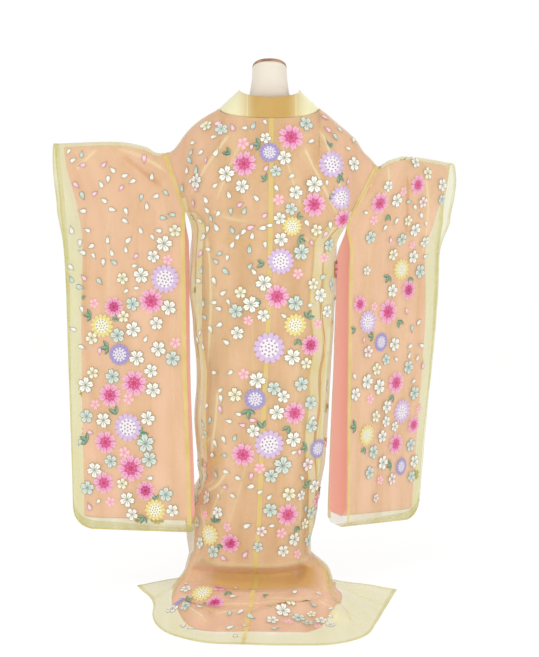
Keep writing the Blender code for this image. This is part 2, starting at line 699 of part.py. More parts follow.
def trimmed(grid, first=0.0, last=0.0):
    """A grid drawn back from its first and last columns by these distances."""
    grid = grid.copy()
    for end, step, amount in ((0, 1, first), (-1, -2, last)):
        if amount:
            way = grid[:, step] - grid[:, end]
            size = np.linalg.norm(way, axis=1, keepdims=True)
            grid[:, end] += way / size * amount
    return grid


def collar_seam(side, v):
    """The line the collar is sewn to on the front, from the shoulder down."""
    s = np.where(v < 1, FRONT_SEAM, okumi_s(v, 1.0))
    return body_point(side, "front", v, s)


def collar_stations(side):
    """Seam points and directions across the band, from the centre back to the front end."""
    back = body_point(side, "back", np.zeros(6), BACK_S[:6])
    v = np.r_[YOKE_V[1:], COLUMN_V[:5]]
    front = collar_seam(side, v)
    a = np.linspace(0, 1, 6) * math.pi / 2
    half, deep, z_back, z_side = COLLAR_TOP
    top = np.stack(
        [
            NECK_BACK[0] * np.cos(a) + side * half * np.sin(a),
            -0.010 - (deep - 0.010) * np.cos(a),
            z_back + (z_side - z_back) * (1 - np.cos(a)),
        ],
        -1,
    )
    lean = table(
        "v x y z",
        (0.0, -0.055, -0.006, 0.046),
        (0.25, -0.058, 0.010, 0.020),
        (0.5, -0.058, 0.017, 0.006),
        (1.0, -0.057, 0.019, 0.0),
        (1.4, -0.056, 0.021, 0.0),
    )
    way = np.stack([smooth(v, lean["v"], lean[c]) for c in "xyz"], -1) * [side, 1, 1]
    return np.r_[back, front], np.r_[top - back, way]


BODY_V = np.r_[YOKE_V, COLUMN_V, TRAIN_V]
LOWER_V = np.r_[COLUMN_V, TRAIN_V]
LINING_ROWS = len(BODY_V) - 2
LINING_HEM = table(  # how far down the train the lining reaches
    "s reach",
    (0.0, 0.870),
    (0.10, 0.875),
    (0.20, 0.865),
    (0.28, 0.800),
    (0.36, 0.660),
    (0.44, 0.570),
    (0.70, 0.500),
    (1.0, 0.450),
)
SLEEVE_W = np.r_[
    0, 0.012, 0.035, np.linspace(0, 1, 7)[1:], 1 + np.arange(1, ARM_ROWS + 1) / ARM_ROWS
]
SLEEVE_S = np.array((0, 0.05, 0.12, 0.22, 0.34, 0.48, 0.62, 0.76, 0.89, 1.0))
SLEEVE_SEWN = {-1: 0.0008, 1: 0.0019}  # gap to the body along the armhole
CUFF_OF_LINING = table("w s", (0, 0.905), (0.3, 0.90), (0.7, 0.88), (0.95, 0.83), (2, 0.905))
YOKE = len(YOKE_V)


def lining_v(s):
    """Rows of the lining: the body's own, with the train's drawn up to the lining's hem."""
    reach = smooth(s, LINING_HEM["s"], LINING_HEM["reach"])
    v = np.repeat(BODY_V[:LINING_ROWS, None], len(s), 1)
    last, same = v[-1, 0], 2.5
    hem = np.clip(2 + reach, same + 0.04, last)[None, :]
    return np.where(v > same, same + (v - same) / (last - same) * (hem - same), v)


seams, ways = [], []
for side, word in ((-1, "left"), (1, "right")):
    back = grid_of(body_point, side, "back", BODY_V, BACK_S)
    front = grid_of(body_point, side, "front", BODY_V, FRONT_S)
    grids = [trimmed(back, 0.00025, GAP / 2), trimmed(front, GAP / 2, GAP / 2)]
    grids[0][0] = back[0]
    grids[1][0] = front[0]
    grids[0][0, 0] = trimmed(back[:1], 0.00025)[0, 0]
    grids[1][0, ::-1] = grids[0][0, 5:]
    cloth("body_" + word, grids, WALL, ORGANZA, INSIDE)
    v, share = np.meshgrid(LOWER_V, np.linspace(0, 1, 4), indexing="ij")
    okumi = body_point(side, "front", v, okumi_s(v, share))
    cloth("overlap_" + word, [trimmed(okumi, GAP * 2.4)], WALL, ORGANZA, INSIDE)

    w, s = np.meshgrid(SLEEVE_W, SLEEVE_S, indexing="ij")
    loop = np.concatenate(
        [sleeve_point(side, 1, w, s), sleeve_point(side, -1, w, s)[::-1][1:]]
    )
    centre = loop.reshape(-1, 3).mean(0)
    cloth("sleeve_" + word, [trimmed(loop, SLEEVE_SEWN[side])], WALL, ORGANZA, centre)

    s[:, -2] = np.interp(w[:, 0], CUFF_OF_LINING["w"], CUFF_OF_LINING["s"])
    w, s = w[:, :-1], s[:, :-1]
    loop = np.concatenate(
        [
            lining_sleeve_point(side, 1, w, s),
            lining_sleeve_point(side, -1, w, s)[::-1][1:],
        ]
    )
    centre = loop.reshape(-1, 3).mean(0)
    loop = trimmed(loop, SLEEVE_SEWN[side] + 0.0004)
    cloth("sleeve_lining_" + word, [loop], LINING_WALL, LINING, centre)

    v = lining_v(BACK_S)
    back = lining_point(side, "back", v, np.repeat(BACK_S[None, :], len(v), 0))
    s = np.r_[FRONT_S, okumi_s(1.0, np.linspace(0, 1, 4)[1:])]
    v = lining_v(s)
    edge = okumi_s(BODY_V[:LINING_ROWS], 1.0) - 0.014
    s = np.repeat(s[None, :], len(v), 0)
    for k in range(1, 4):
        s[:, 6 + k] = FRONT_SEAM + (edge - FRONT_SEAM) * k / 3
    front = lining_point(side, "front", v[:, :7], s[:, :7])
    lower = lining_point(side, "front", v[YOKE:, 6:], s[YOKE:, 6:])
    front[:YOKE, -1] = trimmed(front[:YOKE], 0, 0.002)[:, -1]
    front[0] = back[0, 5:][::-1]
    back = np.r_[trimmed(back[:1], 0.00025), trimmed(back[1:], 0.00025, GAP / 2)]
    front[1:] = trimmed(front[1:], GAP / 2)
    cloth("lining_" + word, [back, front, lower], LINING_WALL, LINING, INSIDE)

    seam, way = collar_stations(side)
    seams.append(seam)
    ways.append(way)

seam = np.concatenate([seams[0][::-1], seams[1][1:]])
way = np.concatenate([ways[0][::-1], ways[1][1:]])
share = np.array((0.013, 0.33, 0.67, 1.0))
collar = seam[:, None] + way[:, None] * share[None, :, None]
cloth("collar", [collar], COLLAR_WALL, ORGANZA, (0.0, 0.0, 1.30))

rings = [
    torso_ring(wide, deep, mid, z, tilt)
    for z, wide, deep, mid, tilt in zip(*(TORSO[c] for c in ("z", "wide", "deep", "mid", "tilt")))
]
lofted("form_torso", rings, COVER)
top = TORSO["z"][-1] + 0.0003
cap = []
for rise, size in ((0.0, 1.0), (0.006, 1.0), (0.009, 0.94), (0.011, 0.80)):
    ring = torso_ring(0.0475 * size, 0.0465 * size, 0.0, top + rise, -NECK_TILT)
    cap.append(ring)
lofted("form_neck_cap", cap, WOOD)
turned(
    "stand_pole",
    [
        (0, TORSO_BOTTOM - GAP),
        (POLE_RADIUS, TORSO_BOTTOM - GAP),
        (POLE_RADIUS, HUB_TOP + GAP),
        (0, HUB_TOP + GAP),
    ],
    STEEL,
    20,
)
turned(
    "stand_base",
    [
        (0, HUB_TOP),
        (HUB_RADIUS - 0.004, HUB_TOP),
        (HUB_RADIUS, HUB_TOP - 0.004),
        (HUB_RADIUS, FOOT_THICK + 0.006),
        (HUB_RADIUS + 0.006, FOOT_THICK),
        (FOOT_RADIUS - 0.003, FOOT_THICK),
        (FOOT_RADIUS, FOOT_THICK - 0.003),
        (FOOT_RADIUS, 0),
        (0, 0),
    ],
    STEEL,
    24,
)
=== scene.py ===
"""An uchikake of sheer organza over a loose peach lining, on a limbless dress form.

The surface functions are those of the part's source, on finer grids, with the smaller
creases, the seams, the bands and the flowers added.  Lengths are metres.
"""
import json
import math

import bmesh
import bpy
import numpy as np
from mathutils import Matrix, Vector

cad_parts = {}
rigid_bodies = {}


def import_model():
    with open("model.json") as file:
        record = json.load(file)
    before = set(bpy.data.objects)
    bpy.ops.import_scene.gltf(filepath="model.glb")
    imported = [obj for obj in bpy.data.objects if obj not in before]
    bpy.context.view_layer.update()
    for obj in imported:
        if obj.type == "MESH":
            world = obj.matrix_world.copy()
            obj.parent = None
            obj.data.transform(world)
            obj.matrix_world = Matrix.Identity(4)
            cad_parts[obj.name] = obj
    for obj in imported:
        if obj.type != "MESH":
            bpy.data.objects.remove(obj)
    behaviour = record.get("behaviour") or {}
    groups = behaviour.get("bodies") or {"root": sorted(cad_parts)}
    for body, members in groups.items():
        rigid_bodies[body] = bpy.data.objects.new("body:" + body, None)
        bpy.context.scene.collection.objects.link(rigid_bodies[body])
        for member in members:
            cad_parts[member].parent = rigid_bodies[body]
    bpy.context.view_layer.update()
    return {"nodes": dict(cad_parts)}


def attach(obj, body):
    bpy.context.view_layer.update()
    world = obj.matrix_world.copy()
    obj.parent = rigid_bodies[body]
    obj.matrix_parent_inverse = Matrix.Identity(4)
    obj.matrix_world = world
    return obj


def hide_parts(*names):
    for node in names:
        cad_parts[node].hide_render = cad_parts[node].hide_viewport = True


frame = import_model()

# ---------------------------------------------------------------- sizes (metres)
LINING_WALL = 0.0011
GAP = 0.0003  # between pieces at a seam
LINING_DROP = 0.0050  # lining's outer face under the organza's
LINING_SEWN = 0.0022  # the same where the two are sewn together
SLEEVE_LINING_SEWN = {-1: 0.0016, 1: 0.0030}  # the same at each sleeve's seams

SIDE_SEAM = 0.435  # shares of the half hem width, from the centre back seam
FRONT_SEAM = 0.783
Z_FOLD = 0.104  # height of the fold where the back breaks over the floor
Z_SLIT = 0.97  # the side seam is open above this, up to the armhole
Z_COLLAR_END = 0.70
V_COLLAR_END = 1.40  # the same place as a row of the cloth
V_COLLAR_STEP = 1.42  # the overlap has its full width again from here down
SLIT_SHARE = 0.16  # how much of a quarter the side slit opens at the armhole's end
COLLAR_WALL = 0.0024  # the band is folded double

FOOT_RADIUS = 0.140
FOOT_THICK = 0.008
HUB_RADIUS = 0.028
HUB_TOP = 0.046
POLE_RADIUS = 0.0125
TORSO_BOTTOM = 0.800
NECK_TILT = 0.42  # the neck's top plane falls this much per metre towards the front


def table(columns, *rows, parts=1):
    """Rows of numbers under named columns, given in this many parts of one."""
    cells = np.array(rows, float) / parts
    return {name: cells[:, i] for i, name in enumerate(columns.split())}


# Column of the skirt and back: half sections by height.  cb is the centre back seam's x,
# side the widest |x| and mid its y, back and front the y of the back and front,
# edge the |x| of the open front's edge, round the corner exponent.
SECTION = {
    -1: table(
        "z cb back side mid front edge round",
        (104, -40, -122, 232, 50, 205, 150, 2300), (150, -36, -122, 239, 85, 195, 135, 2200),
        (200, -32, -123, 237, 100, 190, 125, 2200), (260, -28, -125, 222, 95, 185, 118, 2200),
        (320, -26, -127, 190, 60, 180, 112, 2400), (400, -23, -129, 196, 30, 172, 106, 2500),
        (500, -18, -131, 202, 15, 166, 100, 2500), (620, -12, -133, 194, 10, 160, 96, 2500),
        (780, -4, -136, 206, 8, 154, 98, 2500), (900, -1, -142, 218, 5, 148, 108, 2500),
        (1000, 2, -148, 216, 2, 142, 116, 2400), (1050, 3, -150, 221, 0, 139, 118, 2300),
        (1100, 4, -151, 246, 0, 136, 120, 2200),
        parts=1000,
    ),
    1: table(
        "z cb back side mid front edge round",
        (104, -40, -122, 120, 20, 205, 105, 2400), (150, -36, -122, 117, 30, 198, 100, 2400),
        (200, -32, -123, 123, 35, 190, 98, 2400), (260, -28, -125, 129, 30, 182, 96, 2400),
        (320, -26, -127, 136, 15, 176, 94, 2400), (400, -23, -129, 146, -2, 170, 92, 2400),
        (500, -18, -131, 152, -12, 164, 90, 2350), (620, -12, -133, 160, -18, 158, 92, 2300),
        (780, -4, -136, 170, -22, 152, 97, 2300), (900, -1, -142, 177, -22, 146, 106, 2300),
        (1000, 2, -148, 186, -12, 141, 114, 2300), (1050, 3, -150, 216, -4, 138, 117, 2300),
        (1100, 4, -151, 246, 0, 135, 119, 2200),
        parts=1000,
    ),
}
ARMHOLE_END = {-1: 1.09, 1: 1.05}

# The shoulder ridge from the neck to the sleeve seam: |x|, y, z.
RIDGE = {
    -1: table(
        "x y z",
        (140, -4, 1372), (155, -4, 1364.5), (172, -4, 1355), (195, -4, 1340), (220, -4, 1319),
        (241, -5, 1294), (256, -6, 1272), (272, -8, 1256), (289, -10, 1250),
        parts=1000,
    ),
    1: table(
        "x y z",
        (137, -4, 1373.5), (152, -4, 1364), (168, -4, 1351), (190, -4, 1332), (218, -4, 1309),
        (243, -5, 1284), (260, -6, 1256), (280, -8, 1236), (298, -10, 1214),
        parts=1000,
    ),
}
NECK_SHARE = 0.46  # share of the back's width that ends on the neck seam
NECK_BACK = (0.005, -0.116, 1.343)  # the neck seam at the centre back
COLLAR_TOP = (0.083, 0.090, 1.401, 1.424)  # half width, depth, z at back and at the sides

# The hem on the floor from the centre back to the front corner of each side.
HEM = {
    -1: table(
        "x y",
        (-68, -484), (-150, -476), (-212, -443), (-268, -388), (-303, -310), (-318, -230), (-322, -140),
        (-338, -60), (-365, 5), (-385, 62),
        parts=1000,
    ),
    1: table(
        "x y",
        (-68, -484), (30, -493), (125, -492), (200, -464), (250, -412), (283, -310), (308, -212),
        (338, -95), (367, 21),
        parts=1000,
    ),
}

# From the break to the hem: run is the share of the way out to the hem and z the height,
# for the centre back, for the sides and for the front edges.
TRAIN = table(
    "step run_back z_back run_left z_left run_right z_right run_front z_front",
    (0.0, 0.000, 0.104, 0.00, 0.104, 0.00, 0.104, 0.00, 0.104),
    (1.0, -0.055, 0.089, 0.09, 0.082, 0.15, 0.100, 0.03, 0.078),
    (2.0, -0.128, 0.071, 0.15, 0.064, 0.28, 0.091, 0.07, 0.054),
    (3.0, -0.066, 0.050, 0.22, 0.054, 0.34, 0.072, 0.12, 0.034),
    (4.0, 0.040, 0.046, 0.31, 0.051, 0.36, 0.054, 0.19, 0.020),
    (5.0, 0.145, 0.054, 0.41, 0.047, 0.41, 0.038, 0.27, 0.013),
    (6.0, 0.240, 0.044, 0.51, 0.037, 0.49, 0.030, 0.37, 0.010),
    (7.0, 0.335, 0.025, 0.61, 0.025, 0.57, 0.029, 0.48, 0.009),
    (8.0, 0.430, 0.031, 0.70, 0.019, 0.66, 0.022, 0.60, 0.008),
    (9.0, 0.540, 0.019, 0.79, 0.012, 0.76, 0.012, 0.72, 0.0062),
    (10.0, 0.700, 0.0085, 0.87, 0.0068, 0.86, 0.0070, 0.84, 0.0045),
    (11.0, 0.860, 0.0052, 0.94, 0.0035, 0.94, 0.0035, 0.93, 0.0030),
    (12.0, 1.000, 0.0016, 1.00, 0.0016, 1.00, 0.0016, 1.00, 0.0016),
)
TRAIN_STEPS = 12

# Folds of the body.  s is the share from centre back to front edge at the fold's ends,
# width is in the same share, height is outward.
FOLDS = {
    -1: table(
        "s_top z_top s_low z_low width height",
        (175, 1300, 345, 1070, 45, 14), (120, 1280, 225, 980, 40, -7), (365, 980, 400, 130, 45, 9),
        (545, 1150, 535, 130, 50, 16), (660, 1000, 655, 120, 45, -12), (770, 1000, 760, 120, 50, 13),
        (250, 700, 270, 120, 40, -5), (890, 700, 880, 120, 50, -9),
        parts=1000,
    ),
    1: table(
        "s_top z_top s_low z_low width height",
        (190, 1310, 385, 1040, 45, 16), (135, 1280, 270, 920, 42, -9), (350, 920, 330, 130, 42, 9),
        (545, 1100, 540, 130, 50, 15), (660, 1000, 650, 120, 45, -12), (770, 980, 760, 120, 50, 12),
        (240, 620, 250, 120, 40, -5), (890, 700, 880, 120, 50, -9),
        parts=1000,
    ),
}

# Sleeves.  At each height: the middle of the open inner edge and of the outer edge,
# and the distance between the two leaves at each.  z falls from the armhole's end.
SLEEVE = {
    -1: table(
        "z in_x in_y in_gap out_x out_y out_gap",
        (1090, -237, -6, 92, -592, 20, 40), (1000, -229, -18, 72, -580, 20, 6),
        (880, -228, -24, 60, -574, 20, 4.2), (740, -227, -30, 54, -571, 18, 4.2),
        (600, -225, -36, 50, -568, 16, 4.2), (460, -220, -44, 48, -565, 12, 4.2),
        (340, -216, -52, 46, -562, 8, 4.2), (180, -213, -62, 44, -560, 4, 4.2),
        parts=1000,
    ),
    1: table(
        "z in_x in_y in_gap out_x out_y out_gap",
        (1050, 214, 0, 92, 522, 232, 30), (960, 206, 12, 60, 502, 237, 4.2),
        (860, 204, 18, 58, 500, 242, 4.2), (740, 202, 22, 62, 494, 248, 4.2),
        (600, 200, 25, 66, 483, 255, 4.2), (460, 197, 28, 71, 471, 263, 4.2),
        (340, 195, 30, 75, 462, 269, 4.2), (150, 192, 32, 79, 451, 276, 4.2),
        parts=1000,
    ),
}
SLEEVE_TOP = {  # height of the sleeve's upper fold along it
    -1: table(
        "s z",
        (0.00, 1.250), (0.09, 1.254), (0.16, 1.266), (0.48, 1.282), (1.00, 1.277),
    ),
    1: table(
        "s z",
        (0.00, 1.214), (0.10, 1.226), (0.24, 1.237), (0.34, 1.242), (0.60, 1.238), (1.00, 1.223),
    ),
}
CUFF = {-1: (-0.603, 0.022, 0.050), 1: (0.537, 0.230, 0.044)}  # x, y, gap at the top
SLEEVE_BOTTOM = {-1: (0.192, 0.186), 1: (0.186, 0.150)}  # z at the inner and outer end
LINING_SHORT = 0.036  # share of the drop by which the lining bag is shorter
CORNER = 0.060  # radius of the sleeve's lower outer corner
TOP_ROUND = 2.6

# Dress form: height, half width, half depth, the section's middle in y, and its tilt.
TORSO = table(
    "z wide deep mid tilt",
    (800, 96, 76, 0, 0), (812, 110, 88, 0, 0), (850, 114, 92, 0, 0), (920, 112, 88, 0, 0),
    (990, 110, 84, -2, 0), (1060, 124, 90, -6, 0), (1140, 146, 100, -10, 0), (1210, 160, 99, -12, 0),
    (1270, 168, 88, -12, 0), (1304, 170, 74, -8, 0), (1328, 165, 61, -5, 0), (1341.5, 159, 53, -4, 0),
    (1351.3, 151, 48, -4, 0), (1361.2, 137, 45, -4, 0), (1376, 106, 45, -4, 0), (1390, 74, 48, -3, -40),
    (1406, 58, 50, -2, -100), (1428, 52.5, 49.5, -1, -200), (1452, 49, 48, 0, -320),
    (1480, 47.5, 46.5, 0, -420),
    parts=1000,
)


# ---------------------------------------------------------------- curves
def smooth(x, xs, ys):
    """A smooth curve through a table's points."""
    xs, ys = np.asarray(xs, float), np.asarray(ys, float)
    steps = np.diff(ys) / np.diff(xs)
    slope = np.empty_like(ys)
    slope[1:-1] = np.where(steps[1:] * steps[:-1] > 0, 0.5 * (steps[1:] + steps[:-1]), 0)
    slope[0], slope[-1] = steps[0], steps[-1]
    limit = 3 * np.minimum(np.abs(np.r_[steps[0], steps]), np.abs(np.r_[steps, steps[-1]]))
    slope = np.clip(slope, -limit, limit)
    x = np.clip(np.asarray(x, float), xs[0], xs[-1])
    i = np.clip(np.searchsorted(xs, x, side="right") - 1, 0, len(xs) - 2)
    h = xs[i + 1] - xs[i]
    t = (x - xs[i]) / h
    return (
        ys[i] * (1 + 2 * t) * (1 - t) ** 2
        + ys[i + 1] * t * t * (3 - 2 * t)
        + slope[i] * h * t * (1 - t) ** 2
        + slope[i + 1] * h * t * t * (t - 1)
    )


def ramp(x, low, high):
    """0 below low, 1 above high, smooth between."""
    t = np.clip((np.asarray(x, float) - low) / (high - low), 0, 1)
    return t * t * (3 - 2 * t)


def along(points, share):
    """The points at these shares of a polyline's length."""
    points = np.asarray(points, float)
    run = np.r_[0, np.cumsum(np.linalg.norm(np.diff(points, axis=0), axis=1))]
    at = np.clip(share, 0, 1) * run[-1]
    return np.stack([np.interp(at, run, points[:, k]) for k in range(points.shape[1])], -1)


def through(columns, names, share, n=80):
    """The points at these shares of the smooth curve through a table's rows."""
    base = np.stack([columns[c] for c in names], -1)
    run = np.r_[0, np.cumsum(np.linalg.norm(np.diff(base, axis=0), axis=1))]
    fine = np.linspace(0, run[-1], n)
    return along(np.stack([smooth(fine, run, base[:, k]) for k in range(len(names))], -1), share)


# ---------------------------------------------------------------- the body's surface
# A point of one half is named by its side (-1 left, 1 right), its face (back or front),
# v down the cloth (0 shoulder, 1 armhole's end, 2 break over the floor, 3 hem) and s
# across it (0 centre back seam, SIDE_SEAM, FRONT_SEAM, 1 front edge).
LEVELS = np.linspace(Z_FOLD, 1.10, 80)
ACROSS = np.linspace(0, 1, 121)
CENTRE_LEVEL = 1.07  # height of the row at the armholes' ends, at the centre back


def quarters(side, z):
    """The back and front quarter of a level section, evenly spaced along the cloth."""
    t = SECTION[side]
    cb, back, wide, mid, front, edge, power = (
        float(smooth(z, t["z"], t[c]))
        for c in ("cb", "back", "side", "mid", "front", "edge", "round")
    )
    e = 2 / power
    a = np.linspace(0, math.pi / 2, 91)
    b = np.linspace(0, math.acos((edge / wide) ** (1 / e)), 91)
    back_x = cb + (side * wide - cb) * np.sin(a) ** e
    back_y = mid + (back - mid) * np.cos(a) ** e
    front_x = side * wide * np.cos(b) ** e
    front_y = mid + (front - mid) * np.sin(b) ** e
    return (
        along(np.stack([back_x, back_y], -1), ACROSS),
        along(np.stack([front_x, front_y], -1), ACROSS),
    )


def lattice(side):
    """One side's level sections as a grid of points, for its back and its front."""
    pairs = [quarters(side, z) for z in LEVELS]
    return {"back": np.array([p[0] for p in pairs]), "front": np.array([p[1] for p in pairs])}


def sample(grid, row, column):
    """Points between a lattice's points."""
    i = np.clip(np.floor(row).astype(int), 0, grid.shape[0] - 2)
    j = np.clip(np.floor(column).astype(int), 0, grid.shape[1] - 2)
    u = (row - i)[..., None]
    w = (column - j)[..., None]
    low = grid[i, j] * (1 - w) + grid[i, j + 1] * w
    high = grid[i + 1, j] * (1 - w) + grid[i + 1, j + 1] * w
    return low * (1 - u) + high * u


def column_point(side, face, z, s):
    """The skirt and back between the armhole's end and the break over the floor."""
    slit = SLIT_SHARE * ramp(z, Z_SLIT, ARMHOLE_END[side])
    if face == "back":
        share = s / SIDE_SEAM * (1 - slit)
    else:
        even = (FRONT_SEAM - SIDE_SEAM) / (1 - SIDE_SEAM)
        narrow = even + (0.965 - even) * ramp(z, Z_COLLAR_END, ARMHOLE_END[side])
        panel = (s - SIDE_SEAM) / (FRONT_SEAM - SIDE_SEAM) * narrow
        overlap = narrow + (s - FRONT_SEAM) / (1 - FRONT_SEAM) * (1 - narrow)
        share = slit + np.where(s < FRONT_SEAM, panel, overlap) * (1 - slit)
    row = (z - LEVELS[0]) / (LEVELS[1] - LEVELS[0])
    xy = sample(LATTICE[side][face], row, np.clip(share, 0, 1) * (len(ACROSS) - 1))
    return np.concatenate([xy, z[..., None]], -1)


def level_z(side, s):
    """Height of the row at the armhole's end; both sides meet at the centre back."""
    return CENTRE_LEVEL + (ARMHOLE_END[side] - CENTRE_LEVEL) * ramp(s, 0.03, 0.33)


def neck_seam(side, g):
    """The back's neck seam from the centre back (g 0) to the shoulder (g 1)."""
    a = np.clip(g, 0, 1) * math.pi / 2
    r = RIDGE[side]
    x = NECK_BACK[0] * np.cos(a) + side * r["x"][0] * np.sin(a)
    y = r["y"][0] + (NECK_BACK[1] - r["y"][0]) * np.cos(a)
    z = NECK_BACK[2] + (r["z"][0] - NECK_BACK[2]) * (1 - np.cos(a))
    return np.stack([x, y, z], -1)


def shoulder(side, g):
    """The shoulder ridge from the neck (g 0) to the sleeve seam (g 1)."""
    return through(RIDGE[side], ("x", "y", "z"), g) * np.array([side, 1, 1])


def yoke_point(side, face, up, s):
    """Above the armhole's end: up runs from 0 there to 1 at the shoulder or neck seam."""
    level = column_point(side, face, level_z(side, s), s)
    if face == "back":
        g = s / SIDE_SEAM
        past = (g - NECK_SHARE) / (1 - NECK_SHARE)
        top = np.where(
            (past <= 0)[..., None], neck_seam(side, g / NECK_SHARE), shoulder(side, past)
        )
        q = 1 + (TOP_ROUND - 1) * ramp(g, NECK_SHARE - 0.22, NECK_SHARE + 0.05)
    else:
        top = shoulder(side, 1 - (s - SIDE_SEAM) / (FRONT_SEAM - SIDE_SEAM))
        q = np.full(np.shape(s), TOP_ROUND)
    hold = np.maximum(1 - up**TOP_ROUND, 0) ** (1 / q)
    x = level[..., 0] + (top[..., 0] - level[..., 0]) * up
    y = top[..., 1] + (level[..., 1] - top[..., 1]) * hold
    z = level[..., 2] + (top[..., 2] - level[..., 2]) * up
    return np.stack([x, y, z], -1)


def train_point(side, face, step, s):
    """Between the break over the floor (step 0) and the hem."""
    start = column_point(side, face, np.full(s.shape, Z_FOLD), s)[..., :2]
    end = through(HEM[side], ("x", "y"), s)
    flank = "left" if side < 0 else "right"
    w_front = ramp(s, 0.55, 0.90)
    w_side = ramp(s, 0.20, 0.46) * (1 - w_front)
    w_back = 1 - w_side - w_front
    run, z = 0, 0
    for name, weight in (("back", w_back), (flank, w_side), ("front", w_front)):
        run = run + weight * smooth(step, TRAIN["step"], TRAIN["run_" + name])
        z = z + weight * smooth(step, TRAIN["step"], TRAIN["z_" + name])
    return np.concatenate([start + (end - start) * run[..., None], z[..., None]], -1)


def plain_point(side, face, v, s):
    """A point of the body before its folds."""
    v, s = np.broadcast_arrays(np.asarray(v, float), np.asarray(s, float))
    out = np.empty(v.shape + (3,))
    top, low = v < 1, v > 2
    mid = ~(top | low)
    out[top] = yoke_point(side, face, 1 - v[top], s[top])
    high = level_z(side, s[mid])
    out[mid] = column_point(side, face, high + (Z_FOLD - high) * (v[mid] - 1), s[mid])
    out[low] = train_point(side, face, (v[low] - 2) * TRAIN_STEPS, s[low])
    return out


def face_normal(point, side, face, v, s, small=0.002):
    """Outward normals of a surface, from points close by on it."""
    low, high = (0, SIDE_SEAM) if face == "back" else (SIDE_SEAM, 1)
    across = point(side, face, v, np.minimum(s + small, high)) - point(
        side, face, v, np.maximum(s - small, low)
    )
    down = point(side, face, np.minimum(v + small, 3), s) - point(
        side, face, np.maximum(v - small, 0), s
    )
    n = np.cross(down, across) * side
    return n / np.maximum(np.linalg.norm(n, axis=-1, keepdims=True), 1e-12)


def fold_height(side, v, s, z):
    """How far the body's folds stand out."""
    f = FOLDS[side]
    out = np.zeros(z.shape)
    for top, z_top, low, z_low, width, height in zip(*(f[c] for c in f)):
        t = (z_top - z) / (z_top - z_low)
        centre = top + (low - top) * np.clip(t, 0, 1)
        fade = ramp(t, 0.0, 0.18) * (1 - ramp(t, 0.86, 1.06))
        out += height * fade * np.exp(-(((s - centre) / width) ** 2))
    return out * ramp(v, 0.0, 0.35) * (1 - ramp(v, 1.9, 2.0))


def body_point(side, face, v, s):
    """A point of the body with its folds."""
    v, s = np.broadcast_arrays(np.asarray(v, float), np.asarray(s, float))
    p = plain_point(side, face, v, s)
    n = face_normal(plain_point, side, face, v, s)
    return p + n * fold_height(side, v, s, p[..., 2])[..., None]


def lining_drop(side, face, v, s):
    """How far under the organza the lining lies: sewn close at the neck, narrower at the
    sides of the skirt."""
    side_gap = 0.050 if side < 0 else 0.040
    beside = np.exp(-(((s - SIDE_SEAM) / 0.115) ** 2)) * ramp(v, 1.06, 1.30)
    drop = LINING_DROP + side_gap * beside * (1 - ramp(v, 1.93, 2.03))
    neck = ramp(v, 0.0, 0.16)
    return LINING_SEWN + (drop - LINING_SEWN) * neck


def lining_point(side, face, v, s):
    """A point of the lining, under the body and above the floor."""
    v, s = np.broadcast_arrays(np.asarray(v, float), np.asarray(s, float))
    n = face_normal(body_point, side, face, v, s, 0.012)
    n[..., 0] *= ramp(s, 0.0, 0.02)
    p = body_point(side, face, v, s) - n * lining_drop(side, face, v, s)[..., None]
    p[..., 2] = np.maximum(p[..., 2], LINING_WALL + 0.0002)
    return p


# ---------------------------------------------------------------- the sleeve's surface
def armhole(side, leaf, up):
    """The body's edge that the sleeve is sewn to."""
    face = "back" if leaf > 0 else "front"
    return body_point(side, face, 1 - up, np.full(np.shape(up), SIDE_SEAM))


